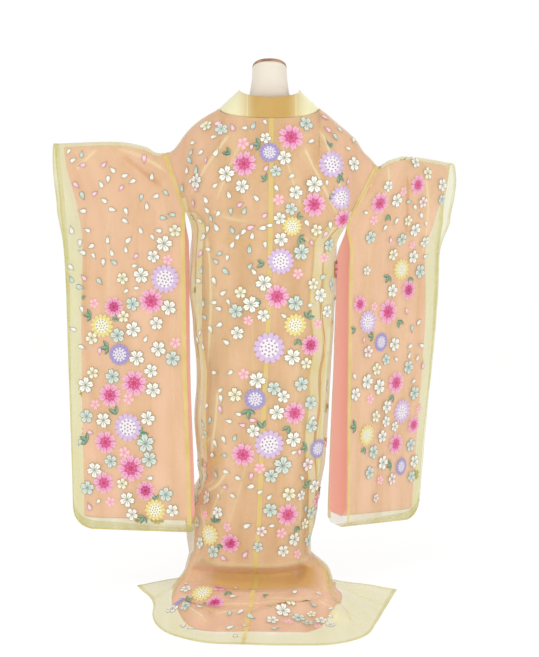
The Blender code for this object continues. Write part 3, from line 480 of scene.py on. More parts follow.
def sleeve_point(side, leaf, w, s):
    """A sleeve point: leaf 1 is the back one and -1 the front one, w runs from the
    bottom (0) past the armhole's end (1) to the upper fold (2), s from seam to cuff."""
    w, s = np.broadcast_arrays(np.asarray(w, float), np.asarray(s, float))
    t = SLEEVE[side]
    arm = ARMHOLE_END[side]
    up = np.clip(w - 1, 0, 1)
    low_in, low_out = SLEEVE_BOTTOM[side]
    near = np.clip(CORNER - (1 - s) * 0.35, 0, CORNER)
    bottom = low_in + (low_out - low_in) * s + CORNER - np.sqrt(CORNER**2 - near**2)
    top = smooth(s, SLEEVE_TOP[side]["s"], SLEEVE_TOP[side]["z"])
    seam = armhole(side, leaf, up)
    z_low = bottom + (arm - bottom) * np.clip(w, 0, 1)
    z_high = arm + (top - arm) * up
    z_high = seam[..., 2] + (z_high - seam[..., 2]) * ramp(s, 0.0, 0.14)
    z = np.where(w < 1, z_low, z_high)

    at = np.minimum(z_low, arm)
    inner_x, inner_y, inner_gap, outer_x, outer_y, outer_gap = (
        smooth(at, t["z"][::-1], t[c][::-1])
        for c in ("in_x", "in_y", "in_gap", "out_x", "out_y", "out_gap")
    )
    cuff_x, cuff_y, cuff_gap = CUFF[side]
    outer_x = outer_x + (cuff_x - outer_x) * ramp(up, 0, 0.8)
    outer_y = outer_y + (cuff_y - outer_y) * ramp(up, 0, 0.8)
    outer_gap = outer_gap + (cuff_gap - outer_gap) * ramp(up, 0, 0.5)
    roll = np.maximum(1 - up**TOP_ROUND, 0) ** (1 / TOP_ROUND)
    closing = ramp(w, -0.012, 0.030) ** 0.5 * roll
    way = np.stack([outer_x - inner_x, outer_y - inner_y], -1)
    normal = np.stack([way[..., 1], -way[..., 0]], -1)
    normal /= np.linalg.norm(normal, axis=-1, keepdims=True)
    normal *= np.where(normal[..., 1:] > 0, -1, 1)
    other = armhole(side, -leaf, up)
    sewn = ramp(at, arm - 0.10, arm)[..., None]
    middle = np.stack([inner_x, inner_y], -1)
    middle = middle + ((seam + other)[..., :2] / 2 - middle) * sewn
    spread = normal * (leaf * inner_gap / 2)[..., None]
    spread = spread + ((seam - other)[..., :2] / 2 - spread) * sewn
    spread = spread * np.where(w < 1, closing, 1)[..., None]
    outer = np.stack([outer_x, outer_y], -1)
    edge = normal * (leaf * outer_gap / 2 * closing)[..., None]
    fall = ((1 - s) ** 1.5)[..., None]
    swell = (0.006 + 0.007 * ramp(z, 0.85, 1.12)) * np.sin(math.pi * s) * closing
    xy = middle + (outer - middle) * s[..., None]
    xy = xy + spread * fall + edge * (1 - fall) + normal * (leaf * swell)[..., None]
    return np.concatenate([xy, z[..., None]], -1)


def lining_sleeve_point(side, leaf, w, s):
    """The lining bag inside the sleeve, which is shorter at the bottom."""
    w, s = np.broadcast_arrays(np.asarray(w, float), np.asarray(s, float))
    raised = w + LINING_SHORT * np.clip(1 - w / 0.45, 0, 1)
    mine = sleeve_point(side, leaf, raised, s)
    other = sleeve_point(side, -leaf, raised, s)
    centre = (mine + other) / 2
    away = (mine - centre)[..., :2]
    half = np.linalg.norm(away, axis=-1, keepdims=True)
    sewn = SLEEVE_LINING_SEWN[side]
    less = sewn + (LINING_DROP - sewn) * ramp(s, 0.0, 0.10)
    keep = np.maximum(half - less[..., None], np.minimum(0.0014, half))
    keep = keep * np.where(w < 0.5, ramp(w, -0.012, 0.030) ** 0.5, 1)[..., None]
    p = mine.copy()
    p[..., :2] = centre[..., :2] + away / np.maximum(half, 1e-9) * keep
    p[..., 2] -= less * 2.0 * ramp(w, 1.3, 2.0)
    return p


LATTICE = {side: lattice(side) for side in (-1, 1)}
SLEEVE_SEWN = {-1: 0.0008, 1: 0.0019}  # gap to the body along the armhole
CUFF_OF_LINING = table("w s", (0, 0.905), (0.3, 0.90), (0.7, 0.88), (0.95, 0.83), (2, 0.905))
LINING_HEM = table(  # how far down the train the lining reaches
    "s reach",
    (0.0, 0.870), (0.10, 0.875), (0.20, 0.865), (0.28, 0.800), (0.36, 0.660), (0.44, 0.570),
    (0.70, 0.500), (1.0, 0.450),
)


def okumi_s(v, share):
    """Shares across the overlap panel, which is cut back along the collar's seam."""
    taper = np.interp(v, (1.0, V_COLLAR_END, V_COLLAR_STEP), (0.90, 0.56, 1.0))
    return FRONT_SEAM + share * (1 - FRONT_SEAM) * taper


# ---------------------------------------------------------------- creases
def bent_lines(*rows):
    """Bent lines: the start, middle and end of each, then its half width, all in millimetres,
    and its height in tenths of one, below nothing for a trough.  On the upright cloth the two
    numbers of a point are x and z, and on the train they are x and y."""
    parts = np.array((1000,) * 7 + (10000,))
    return table("a0 b0 a1 b1 a2 b2 width height", *rows, parts=parts)


CREASES = {
    "back": bent_lines(
        (-100, 1310, -165, 1220, -225, 1120, 17, 34), (-120, 1300, -185, 1220, -235, 1150, 12, -24),
        (-60, 1300, -105, 1220, -150, 1100, 14, 20), (90, 1270, 130, 1190, 200, 1050, 12, 34),
        (130, 1320, 175, 1210, 215, 1040, 13, 32), (110, 1290, 155, 1190, 208, 1060, 10, -26),
        (30, 1290, 55, 1200, 95, 1080, 16, 18), (-160, 1100, -110, 1075, -40, 1070, 11, 22),
        (-170, 1030, -80, 1010, 10, 1020, 13, -18), (190, 1060, 130, 1020, 60, 1030, 12, 20),
        (180, 1010, 110, 985, 70, 940, 13, -20), (155, 1000, 150, 900, 152, 780, 10, 30),
        (125, 980, 128, 880, 120, 740, 16, -10), (-178, 1040, -160, 880, -174, 620, 11, 28),
        (-125, 960, -118, 820, -122, 640, 18, -9), (-60, 900, -45, 720, -55, 520, 20, 8),
        (60, 860, 75, 680, 65, 470, 20, 9), (120, 700, 105, 550, 115, 380, 13, 12),
        (-140, 620, -150, 500, -165, 400, 12, 26), (-110, 390, -145, 330, -190, 290, 12, 34),
        (-120, 420, -170, 380, -200, 350, 11, -26), (-50, 460, -90, 300, -130, 180, 16, 11),
        (20, 440, 40, 300, 30, 140, 18, -9), (100, 360, 85, 250, 95, 130, 14, 12),
        (-160, 470, -185, 440, -205, 450, 8, 24), (-130, 450, -160, 400, -210, 400, 8, -22),
        (-150, 350, -175, 320, -205, 320, 8, 26), (-120, 330, -150, 280, -160, 220, 9, 24),
        (-170, 300, -195, 270, -215, 280, 8, -24), (-130, 250, -165, 230, -200, 240, 8, 24),
        (-160, 200, -185, 170, -215, 180, 8, -24), (-100, 200, -130, 160, -175, 150, 9, 24),
        (-200, 270, -180, 200, -185, 140, 12, 28), (-150, 240, -120, 190, -70, 150, 12, -24),
    ),
    "front": bent_lines(
        (100, 1320, 150, 1220, 190, 1120, 12, 28), (70, 1280, 110, 1150, 130, 1020, 15, -20),
        (170, 1050, 160, 920, 165, 780, 12, 26), (130, 960, 120, 800, 125, 620, 16, -12),
        (90, 840, 80, 640, 90, 440, 18, 13), (160, 600, 150, 440, 165, 300, 13, 16),
        (110, 420, 130, 280, 160, 150, 15, -13), (50, 500, 60, 320, 55, 160, 15, 13),
        (-100, 1320, -155, 1220, -200, 1100, 12, 30), (-60, 1260, -100, 1120, -120, 1000, 15, -22),
        (-170, 1000, -165, 860, -172, 740, 12, 28), (-120, 920, -125, 740, -115, 580, 17, -12),
        (-80, 780, -75, 600, -90, 400, 18, 12), (-150, 520, -160, 400, -175, 280, 13, 16),
        (-100, 360, -125, 240, -150, 140, 14, -14), (-50, 440, -55, 300, -50, 150, 15, 12),
    ),
    "train": bent_lines(
        (-200, -200, -60, -235, 50, -215, 10, 30), (-20, -215, 80, -205, 170, -175, 10, 32),
        (-250, -190, -215, -270, -155, -355, 12, 40), (-220, -180, -180, -250, -140, -300, 12, -30),
        (-160, -300, -80, -285, 0, -300, 12, 26), (120, -220, 165, -270, 175, -340, 12, 36),
        (150, -200, 200, -250, 220, -330, 10, -28), (20, -380, 70, -360, 130, -355, 10, 24),
        (-150, -400, -60, -385, 10, -390, 10, 22), (-290, -220, -330, -170, -360, -100, 8, 24),
        (-270, -300, -310, -240, -340, -180, 8, 22), (-300, -100, -320, -40, -360, 10, 8, 22),
        (-220, -380, -250, -350, -290, -310, 8, 22), (-100, -430, -130, -450, -180, -460, 8, 22),
        (40, -430, 80, -445, 140, -450, 8, 22), (170, -360, 210, -400, 250, -430, 8, 26),
        (200, -280, 260, -310, 310, -330, 8, 24), (210, -200, 280, -200, 340, -190, 8, 26),
        (200, -120, 270, -100, 340, -80, 8, 24), (180, -50, 240, -30, 320, -30, 8, 22),
        (-200, 60, -240, 30, -300, 20, 10, 22), (180, 50, 240, 30, 300, 20, 10, 22),
    ),
    "rolls": bent_lines(  # the large ones, which carry the lining with them
        (-90, -345, 40, -275, 160, -205, 34, 200), (-240, -200, -215, -270, -150, -345, 30, 170),
        (-170, -345, -20, -395, 130, -360, 34, 130), (130, -190, 185, -260, 165, -335, 28, 150),
        (-130, -205, -20, -235, 60, -225, 26, 70),
    ),
    "sleeve_left": bent_lines(
        (-410, 1250, -355, 1205, -290, 1150, 26, -70), (-440, 1270, -345, 1235, -275, 1190, 20, 52),
        (-470, 1270, -510, 1230, -540, 1200, 20, 24), (-300, 1160, -290, 1020, -300, 860, 16, 9),
        (-360, 1140, -370, 960, -360, 780, 22, -8), (-440, 1160, -450, 920, -440, 680, 24, 8),
        (-510, 1120, -520, 860, -515, 600, 20, -8), (-560, 1150, -560, 940, -556, 720, 13, 8),
        (-260, 820, -270, 660, -262, 500, 14, 8), (-330, 700, -335, 520, -325, 340, 20, -7),
        (-400, 620, -410, 440, -400, 270, 20, 8), (-480, 560, -490, 400, -480, 250, 18, -6),
        (-540, 600, -535, 420, -540, 270, 13, 8),
    ),
    "sleeve_right": bent_lines(
        (270, 1270, 290, 1210, 260, 1120, 12, -34), (310, 1260, 330, 1180, 300, 1090, 12, 36),
        (390, 1200, 395, 1100, 390, 1000, 12, -34), (440, 1200, 455, 1080, 440, 920, 15, 26),
        (300, 1060, 280, 920, 275, 740, 15, 9), (350, 1020, 340, 840, 335, 620, 18, -8),
        (410, 940, 400, 740, 390, 520, 16, 8), (270, 660, 262, 500, 255, 340, 14, 8),
        (330, 560, 320, 400, 315, 260, 16, -7), (390, 460, 380, 340, 375, 240, 14, 7),
        (460, 1040, 440, 860, 430, 700, 12, -7),
    ),
}
LINING_CREASES = {
    "back": bent_lines(
        (-170, 1100, -105, 1080, -50, 1075, 8, -22), (-155, 1020, -80, 1018, 0, 1017, 8, -20),
        (-140, 940, -130, 760, -140, 560, 14, 30), (-70, 900, -60, 660, -80, 420, 22, -24),
        (50, 920, 60, 700, 50, 440, 22, 24), (110, 900, 100, 660, 108, 400, 13, -28),
        (-100, 440, -120, 280, -150, 140, 16, 30), (0, 360, 10, 240, 0, 130, 18, -24),
        (80, 340, 90, 220, 85, 130, 15, 28),
    ),
    "sleeve_left": bent_lines(
        (-410, 1250, -355, 1205, -290, 1150, 28, -60), (-320, 1080, -325, 860, -315, 620, 22, 18),
        (-440, 1040, -450, 800, -440, 540, 26, -18),
    ),
    "sleeve_right": bent_lines(
        (300, 1160, 290, 1000, 285, 820, 16, 18), (370, 1060, 360, 840, 350, 600, 18, -18),
    ),
}


def crease_height(creases, a, b):
    """How far the creases stand out at the points (a, b), and the painted light along each: 1 for
    a painted highlight on a ridge and -1 for painted shade in a trough."""
    out, painted_light = np.zeros(a.shape), np.zeros(a.shape)
    t = np.linspace(0, 1, 13)
    for a0, b0, a1, b1, a2, b2, width, height in zip(*creases.values()):
        la = (1 - t) ** 2 * a0 + 2 * t * (1 - t) * (2 * a1 - (a0 + a2) / 2) + t**2 * a2
        lb = (1 - t) ** 2 * b0 + 2 * t * (1 - t) * (2 * b1 - (b0 + b2) / 2) + t**2 * b2
        reach = 4 * width
        close = (a > la.min() - reach) & (a < la.max() + reach)
        close &= (b > lb.min() - reach) & (b < lb.max() + reach)
        pa, pb = a[close], b[close]
        near, where = np.full(pa.shape, 1e9), np.zeros(pa.shape)
        for i in range(12):
            da, db = la[i + 1] - la[i], lb[i + 1] - lb[i]
            u = np.clip(((pa - la[i]) * da + (pb - lb[i]) * db) / (da**2 + db**2), 0, 1)
            d = np.hypot(pa - la[i] - u * da, pb - lb[i] - u * db)
            where = np.where(d < near, (i + u) / 12, where)
            near = np.minimum(near, d)
        fade = ramp(where, 0.0, 0.16) * (1 - ramp(where, 0.78, 1.0))
        fade = fade * np.exp(-np.maximum(near / width - 2.6, 0) ** 2 * 4)
        out[close] += height * fade * np.exp(-(np.hypot(near, 0.004) - 0.004) / (0.62 * width))
        # painted light along the crease: a fine painted highlight or painted shade line on it, and a broad
        # soft band of the same beside it
        strong = math.copysign(min(1.0, abs(height) / 0.0028) * min(1.0, width / 0.0115) ** 1.5, height)
        fine = 0.85 * np.exp(-((near / (0.0008 + 0.30 * width)) ** 2))
        soft = 0.30 * np.exp(-((near / (1.4 * width)) ** 2))
        painted_light[close] += strong * fade * np.maximum(fine, soft)
    return out, np.clip(painted_light, -1, 1)



def ripple(p, scale, height, seed):
    """Slow unevenness of cloth: a few waves that never line up."""
    rng = np.random.default_rng(seed)
    out = np.zeros(p.shape[:-1])
    for _ in range(7):
        way = rng.normal(size=3) * (1.0, 1.0, 0.55)
        way /= np.linalg.norm(way) * scale * rng.uniform(0.6, 1.5)
        out += np.sin(p @ way * 2 * math.pi + rng.uniform(0, 6.28))
    return out / 7 * height


# ---------------------------------------------------------------- charts
def chart(p, outside):
    """A panel's grid of points, its first row at the top, with the outward normals."""
    down, across = np.gradient(p, axis=0), np.gradient(p, axis=1)
    n = np.cross(down, across)
    n /= np.maximum(np.linalg.norm(n, axis=-1, keepdims=True), 1e-12)
    if (n * outside).sum() < 0:
        n = -n
    return {"p": p, "n": n}


def pushed(c, height, painted_light):
    """A chart moved out along its normals, with the painted highlights and painted shade of its creases kept
    for the cloth's colour.
    """
    out = chart(c["p"] + c["n"] * height[..., None], c["n"])
    # fold: above 0.5 a painted highlight, below it painted shade
    out["fold"] = np.clip(0.5 + painted_light / 2, 0, 1)
    return out


BODY_V = np.r_[np.linspace(0, 1, 72)[:-1], np.linspace(1, 2, 131)[:-1], np.linspace(2, 3, 100)]
BODY_V = np.sort(np.r_[BODY_V, 1.415])
LOWER = np.searchsorted(BODY_V, 1.0)  # the first row at the armhole's end


def heap(p, v):
    """How high the cloth of the train is bunched up on the floor, by where it lies."""
    high, _ = crease_height(CREASES["rolls"], p[..., 0], p[..., 1])
    return high * ramp(v, 2.30, 2.44) * (1 - ramp(v, 2.78, 2.93))


def body_waves(c, v, face):
    """Creases and unevenness of the body's organza, held still at its seams with the collar, with the painted
    highlights and painted shade along them.
    """
    p = c["p"]
    train = ramp(v, 1.96, 2.10)
    up, up_painted_light = crease_height(CREASES[face], p[..., 0], p[..., 2])
    low, low_painted_light = crease_height(CREASES["train"], p[..., 0], p[..., 1])
    low, low_painted_light = low * ramp(v, 2.16, 2.28), low_painted_light * ramp(v, 2.16, 2.28)
    h = up * (1 - train) + low * train
    painted_light = up_painted_light * (1 - train) + low_painted_light * train
    if face == "back":  # the column's foot, the hollow under it and the top of the roll
        # painted highlight along the column's foot and along the top of the roll, and painted shade in the
        # hollow between them, down the middle of the back
        inside = (1 - ramp(np.abs(p[..., 0] + 0.02), 0.12, 0.17)) * ramp(-p[..., 1], 0.02, 0.06)
        painted_light += inside * (
            0.55 * np.exp(-(((v - 1.995) / 0.010) ** 2)) + 0.6 * np.exp(-(((v - 2.41) / 0.012) ** 2))
            - 0.95 * ramp(v, 2.03, 2.12) * (1 - ramp(v, 2.30, 2.38))
        )
    h = h + ripple(p, 0.16, 0.0022, 4) + ripple(p, 0.055, 0.0008, 9)
    held = ramp(v, 0.0, 0.12) * (1 - 0.9 * ramp(v, 2.82, 2.98))
    return h * held, np.clip(painted_light, -1, 1) * held


def body_panel(side, face, v, s):
    """A panel of the body's organza with its creases, lying on the floor at the train."""
    outside = face_normal(body_point, side, face, v, s, 0.006)
    c = chart(body_point(side, face, v, s), outside)
    c["n"] = outside
    held = 1 - ramp(v, 2.70, 2.96)
    # crease here is the painted highlight and painted shade along the creases, for the organza's colour
    lift, crease = body_waves(c, v, face)
    lift = np.where(v > 2.5, np.maximum(lift, -0.002) * held, lift)
    out = pushed(c, lift, crease)
    out["p"][..., 2] = np.maximum(out["p"][..., 2] + heap(c["p"], v), 0.0006)
    bare = ramp(v - smooth(s, LINING_HEM["s"], LINING_HEM["reach"]), 1.97, 2.04)
    # less dense than elsewhere, which is below nothing, over the roll and the shoulders
    shoulder = ramp(np.abs(c["p"][..., 0]), 0.09, 0.20) * (1 - ramp(v, 0.6, 1.1))
    out["sheer"] = bare + (1 - bare) * (-0.8 * ramp(v, 2.34, 2.46) - 0.5 * shoulder)
    return out


def grid(v, s):
    """Rows v and columns s as a grid."""
    return np.meshgrid(v, s, indexing="ij")


SLEEVE_V = np.r_[np.linspace(2, 1, 40)[:-1], np.linspace(1, 0.06, 96)[:-1], np.linspace(0.06, 0, 10)]


def sleeve_panel(side, leaf, s, lining=False):
    """One leaf of a sleeve, of the organza or of its lining, with its creases."""
    word = "sleeve_left" if side < 0 else "sleeve_right"
    w, s2 = grid(SLEEVE_V, s)
    if lining:
        edge = np.interp(w[:, 0], CUFF_OF_LINING["w"], CUFF_OF_LINING["s"])
        s2 = s2 / s2[:, -1:] * edge[:, None]
        p = lining_sleeve_point(side, leaf, w, s2)
    else:
        p = sleeve_point(side, leaf, w, s2)
    start = p[:, 1] - p[:, 0]
    sewn = SLEEVE_SEWN[side] + (0.0004 if lining else 0)
    p[:, 0] += start / np.linalg.norm(start, axis=1, keepdims=True) * sewn
    c = chart(p, np.array((0, -leaf, 0)))
    if lining:
        crease, painted_light = crease_height(LINING_CREASES[word], p[..., 0], p[..., 2])
        h = np.minimum(crease + ripple(p, 0.2, 0.0012, 12 + side), 0.0022)
    else:
        creases = dict(CREASES[word])
        if leaf < 0:
            creases["a0"] = creases["a0"] + 0.025
            creases["b1"] = creases["b1"] - 0.05
            creases["width"] = creases["width"] * 1.15
        crease, painted_light = crease_height(creases, p[..., 0], p[..., 2])
        h = crease + ripple(p, 0.17, 0.0020, 21 + side) + ripple(p, 0.05, 0.0007, 5 + leaf)
    open_edge = ramp(w, 0.0, 0.05) * (1 - ramp(w, 1.82, 1.97))
    sewn_edge = np.where(w > 1, ramp(s2, 0.0, 0.06), 1)
    half = np.linalg.norm(sleeve_point(side, 1, w, s2) - sleeve_point(side, -1, w, s2), axis=-1) / 2
    h = np.clip(h * open_edge * sewn_edge, -0.45 * half, 0.006)
    # the painted highlights and painted shade along the sleeve's creases go to its colour
    out = pushed(c, h, painted_light * open_edge * sewn_edge)
    edge = np.interp(w, CUFF_OF_LINING["w"], CUFF_OF_LINING["s"])
    out["sheer"] = np.maximum(ramp(s2, edge - 0.015, edge + 0.015), ramp(w, 1.90, 1.96))
    return out


# ---------------------------------------------------------------- meshes
INSIDE = (0.0, 0.03, 0.75)  # a point within the body, which its cloth faces away from


def mesh_object(name, bm, mat):
    """A smooth object of one material from a bmesh."""
    mesh = bpy.data.meshes.new(name)
    bm.to_mesh(mesh)
    bm.free()
    mesh.materials.append(mat)
    mesh.shade_smooth()
    obj = bpy.data.objects.new(name, mesh)
    bpy.context.scene.collection.objects.link(obj)
    return obj


def lengths(p, axis):
    """How far each grid point is along the cloth from its first row or column."""
    step = np.linalg.norm(np.diff(p, axis=axis), axis=-1)
    return np.concatenate([np.zeros_like(np.take(step, [0], axis)), np.cumsum(step, axis)], axis)


def sheet(name, charts, mat, middle=INSIDE):
    """A thin sheet of cloth on one or more grids, welded where they share points and facing
    away from the middle.  Its UV map is the lengths along its own threads, in metres.  Its
    fold attribute is painted light: above 0.5 for a painted highlight on a ridge and below it
    for painted shade in a trough, and its sheer one is 1 where no lining lies under it and
    below nothing where it is less dense."""
    bm = bmesh.new()
    uv = bm.loops.layers.uv.new("threads")
    fold = bm.verts.layers.float.new("fold")
    sheer = bm.verts.layers.float.new("sheer")
    for c in charts:
        p = c["p"] if isinstance(c, dict) else c
        crease, thin = (c["fold"], c["sheer"]) if isinstance(c, dict) else (None, None)
        rows, columns = p.shape[:2]
        made = bmesh.ops.create_grid(bm, x_segments=columns - 1, y_segments=rows - 1, size=1.0)
        across, down = lengths(p, 1), lengths(p, 0)
        place = {}
        for v in made["verts"]:
            i = round((v.co.x + 1) / 2 * (columns - 1))
            j = round((v.co.y + 1) / 2 * (rows - 1))
            place[v] = (across[j, i], down[j, i])
            # the painted highlight and painted shade of the creases, for the organza's colour
            v[fold] = 0.5 if crease is None else crease[j, i]
            v[sheer] = 0.0 if thin is None else thin[j, i]
            v.co = p[j, i]
        for face in {f for v in made["verts"] for f in v.link_faces}:
            for loop in face.loops:
                loop[uv].uv = place[loop.vert]
    bmesh.ops.remove_doubles(bm, verts=bm.verts, dist=0.00004)
    bmesh.ops.recalc_face_normals(bm, faces=bm.faces)
    bm.normal_update()
    middle = Vector(middle)
    lean = sum(f.calc_area() * (f.calc_center_median() - middle).dot(f.normal) for f in bm.faces)
    if lean < 0:
        bmesh.ops.reverse_faces(bm, faces=bm.faces)
    return mesh_object(name, bm, mat)


# ---------------------------------------------------------------- places on a chart
def at(c, r, k):
    """Points and normals between a chart's grid points."""
    return sample(c["p"], r, k), sample(c["n"], r, k)


def frames(c, r, k):
    """At each place: the point, the normal, the way right and the way up the cloth, and how
    the chart's rows and columns run there."""
    rows, columns = c["p"].shape[:2]
    r0, r1 = np.clip(r - 1, 0, rows - 1.001), np.clip(r + 1, 0, rows - 1.001)
    k0, k1 = np.clip(k - 1, 0, columns - 1.001), np.clip(k + 1, 0, columns - 1.001)
    p, n = at(c, r, k)
    down = (at(c, r1, k)[0] - at(c, r0, k)[0]) / np.maximum(r1 - r0, 1e-6)[..., None]
    across = (at(c, r, k1)[0] - at(c, r, k0)[0]) / np.maximum(k1 - k0, 1e-6)[..., None]
    up = -down / np.linalg.norm(down, axis=-1, keepdims=True)
    n = n / np.linalg.norm(n, axis=-1, keepdims=True)
    up = up - n * (up * n).sum(-1, keepdims=True)
    up /= np.linalg.norm(up, axis=-1, keepdims=True)
    return p, n, np.cross(up, n), up, down, across


def walk(c, r, k, x, y, lift):
    """The points x to the right of and y up from the places (r, k), along the cloth."""
    r, k = np.broadcast_arrays(np.asarray(r, float), np.asarray(k, float))
    p, n, right, up, _, _ = frames(c, r, k)
    rows, columns = c["p"].shape[:2]
    row, column = np.repeat(r[..., None], x.shape[-1], -1), np.repeat(k[..., None], x.shape[-1], -1)
    for _ in range(4):
        q, _, _, _, down, across = frames(c, row, column)
        gap = q - p[..., None, :]
        ex = x - (gap * right[..., None, :]).sum(-1)
        ey = y - (gap * up[..., None, :]).sum(-1)
        a = (down * right[..., None, :]).sum(-1)
        b = (across * right[..., None, :]).sum(-1)
        d = (down * up[..., None, :]).sum(-1)
        e = (across * up[..., None, :]).sum(-1)
        det = a * e - b * d
        det = np.where(np.abs(det) < 1e-9, 1e-9, det)
        row = np.clip(row + np.clip((ex * e - b * ey) / det, -6, 6), 0, rows - 1.001)
        column = np.clip(column + np.clip((a * ey - ex * d) / det, -6, 6), 0, columns - 1.001)
    q, n = at(c, row, column)
    n = n / np.linalg.norm(n, axis=-1, keepdims=True)
    miss = np.hypot(ex, ey).max(-1)
    return q + n * lift[..., None], miss


def strip(c, edge, start, end, lift=0.0005, first=0, last=None, columns=3, wander=0.0, left=1.0):
    """A strip of cloth along one edge of a chart, from start to end metres in from it; its
    inner side wanders in and out by so much, and left is the share of its width at its end."""
    p, n = c["p"], c["n"]
    if edge in ("left", "right"):
        p, n = p.swapaxes(0, 1), n.swapaxes(0, 1)
    if edge in ("bottom", "right"):
        p, n = p[::-1], n[::-1]
    p, n = p[:, first:last], n[:, first:last]
    far = lengths(p, 0)
    out = np.empty((columns, p.shape[1], 3))
    for i in range(p.shape[1]):
        astray = wander * (math.sin(i * 0.09) + 0.6 * math.sin(i * 0.23 + 1.0))
        near = start + astray if start > 0.02 else start
        narrow = 1 - (1 - left) * (i / p.shape[1]) ** 3
        for j, d in enumerate(np.linspace(near, end + astray, columns) * narrow):
            for axis in range(3):
                out[j, i, axis] = np.interp(d, far[:, i], p[:, i, axis]) + lift * np.interp(
                    d, far[:, i], n[:, i, axis]
                )
    return out


# ---------------------------------------------------------------- colours and finishes
def colour(code):
    """An sRGB hex value as linear light."""
    parts = [int(code[i : i + 2], 16) / 255 for i in (1, 3, 5)]
    return tuple(c / 12.92 if c <= 0.04045 else ((c + 0.055) / 1.055) ** 2.4 for c in parts) + (1.0,)


def node(tree, kind, inputs=(), **settings):
    """A node with its settings, and its inputs given as values or as the sockets to link."""
    made = tree.nodes.new(kind)
    for name, value in settings.items():
        setattr(made, name, value)
    for name, value in dict(inputs).items():
        if isinstance(value, bpy.types.NodeSocket):
            tree.links.new(value, made.inputs[name])
        else:
            made.inputs[name].default_value = value
    return made


def mix(tree, share, low, high, **settings):
    """One colour towards another by a share; each is a hex value or a socket."""
    low, high = (colour(c) if isinstance(c, str) else c for c in (low, high))
    inputs = {"Factor": share, 6: low, 7: high}
    return node(tree, "ShaderNodeMix", inputs, data_type="RGBA", **settings).outputs[2]


def mapped(tree, value, low, high, to_low=0.0, to_high=1.0, **settings):
    """A value's way from low to high, as 0 to 1 or as the two ends asked for."""
    inputs = {"Value": value, "From Min": low, "From Max": high, "To Min": to_low, "To Max": to_high}
    return node(tree, "ShaderNodeMapRange", inputs, **settings).outputs[0]


def maths(tree, operation, *values):
    """One step of arithmetic on values or sockets."""
    return node(tree, "ShaderNodeMath", dict(enumerate(values)), operation=operation).outputs[0]


def noise(tree, where, scale, detail):
    """Cloudy unevenness: scale is how many patches there are to a metre."""
    inputs = {"Vector": where, "Scale": scale, "Detail": detail}
    return node(tree, "ShaderNodeTexNoise", inputs).outputs["Fac"]


def bands(tree, where, wide, distortion, detail, **settings):
    """Even light and dark bands or rings, each about so many metres wide."""
    scale = 1 / wide / 6.2832
    inputs = {"Vector": where, "Scale": scale, "Distortion": distortion, "Detail": detail}
    return node(tree, "ShaderNodeTexWave", inputs, **settings).outputs["Fac"]


def bumps(tree, height, strength, depth):
    """A bump so many metres deep."""
    inputs = {"Height": height, "Strength": strength, "Distance": depth}
    return node(tree, "ShaderNodeBump", inputs).outputs[0]


def own_place(tree):
    """The place on the piece itself, in metres."""
    return node(tree, "ShaderNodeTexCoord").outputs["Object"]


def finish(name, **sockets):
    """A new material with the Principled shader's own sockets set, its tree and its shader."""
    mat = bpy.data.materials.new(name)
    mat.use_nodes = True
    shader = mat.node_tree.nodes["Principled BSDF"]
    for key, value in sockets.items():
        shader.inputs[key.replace("_", " ")].default_value = value
    return mat, mat.node_tree, shader


def lay(tree, shader, tone, bump=None):
    """Links a colour and a bump to the shader."""
    tree.links.new(tone, shader.inputs["Base Color"])
    if bump:
        tree.links.new(bump, shader.inputs["Normal"])


def weave(tree, threads, depth, coarse):
    """Crossing threads on the cloth's own UV map, with slubs: where they lie, how high they
    are and their bump.  Threads is how wide each is in metres, drawn coarser than real so
    that they still show."""
    uv = node(tree, "ShaderNodeUVMap", uv_map="threads").outputs[0]
    warp, weft = (bands(tree, uv, threads, 0.6, 1.0, bands_direction=axis) for axis in ("X", "Y"))
    both = maths(tree, "ADD", warp, weft)
    height = maths(tree, "MULTIPLY_ADD", noise(tree, uv, 60.0, 3.0), coarse, both)
    return uv, height, bumps(tree, height, 0.35, depth)


ORGANZA_THREADS = 0.0011
LINING_THREADS = 0.0013


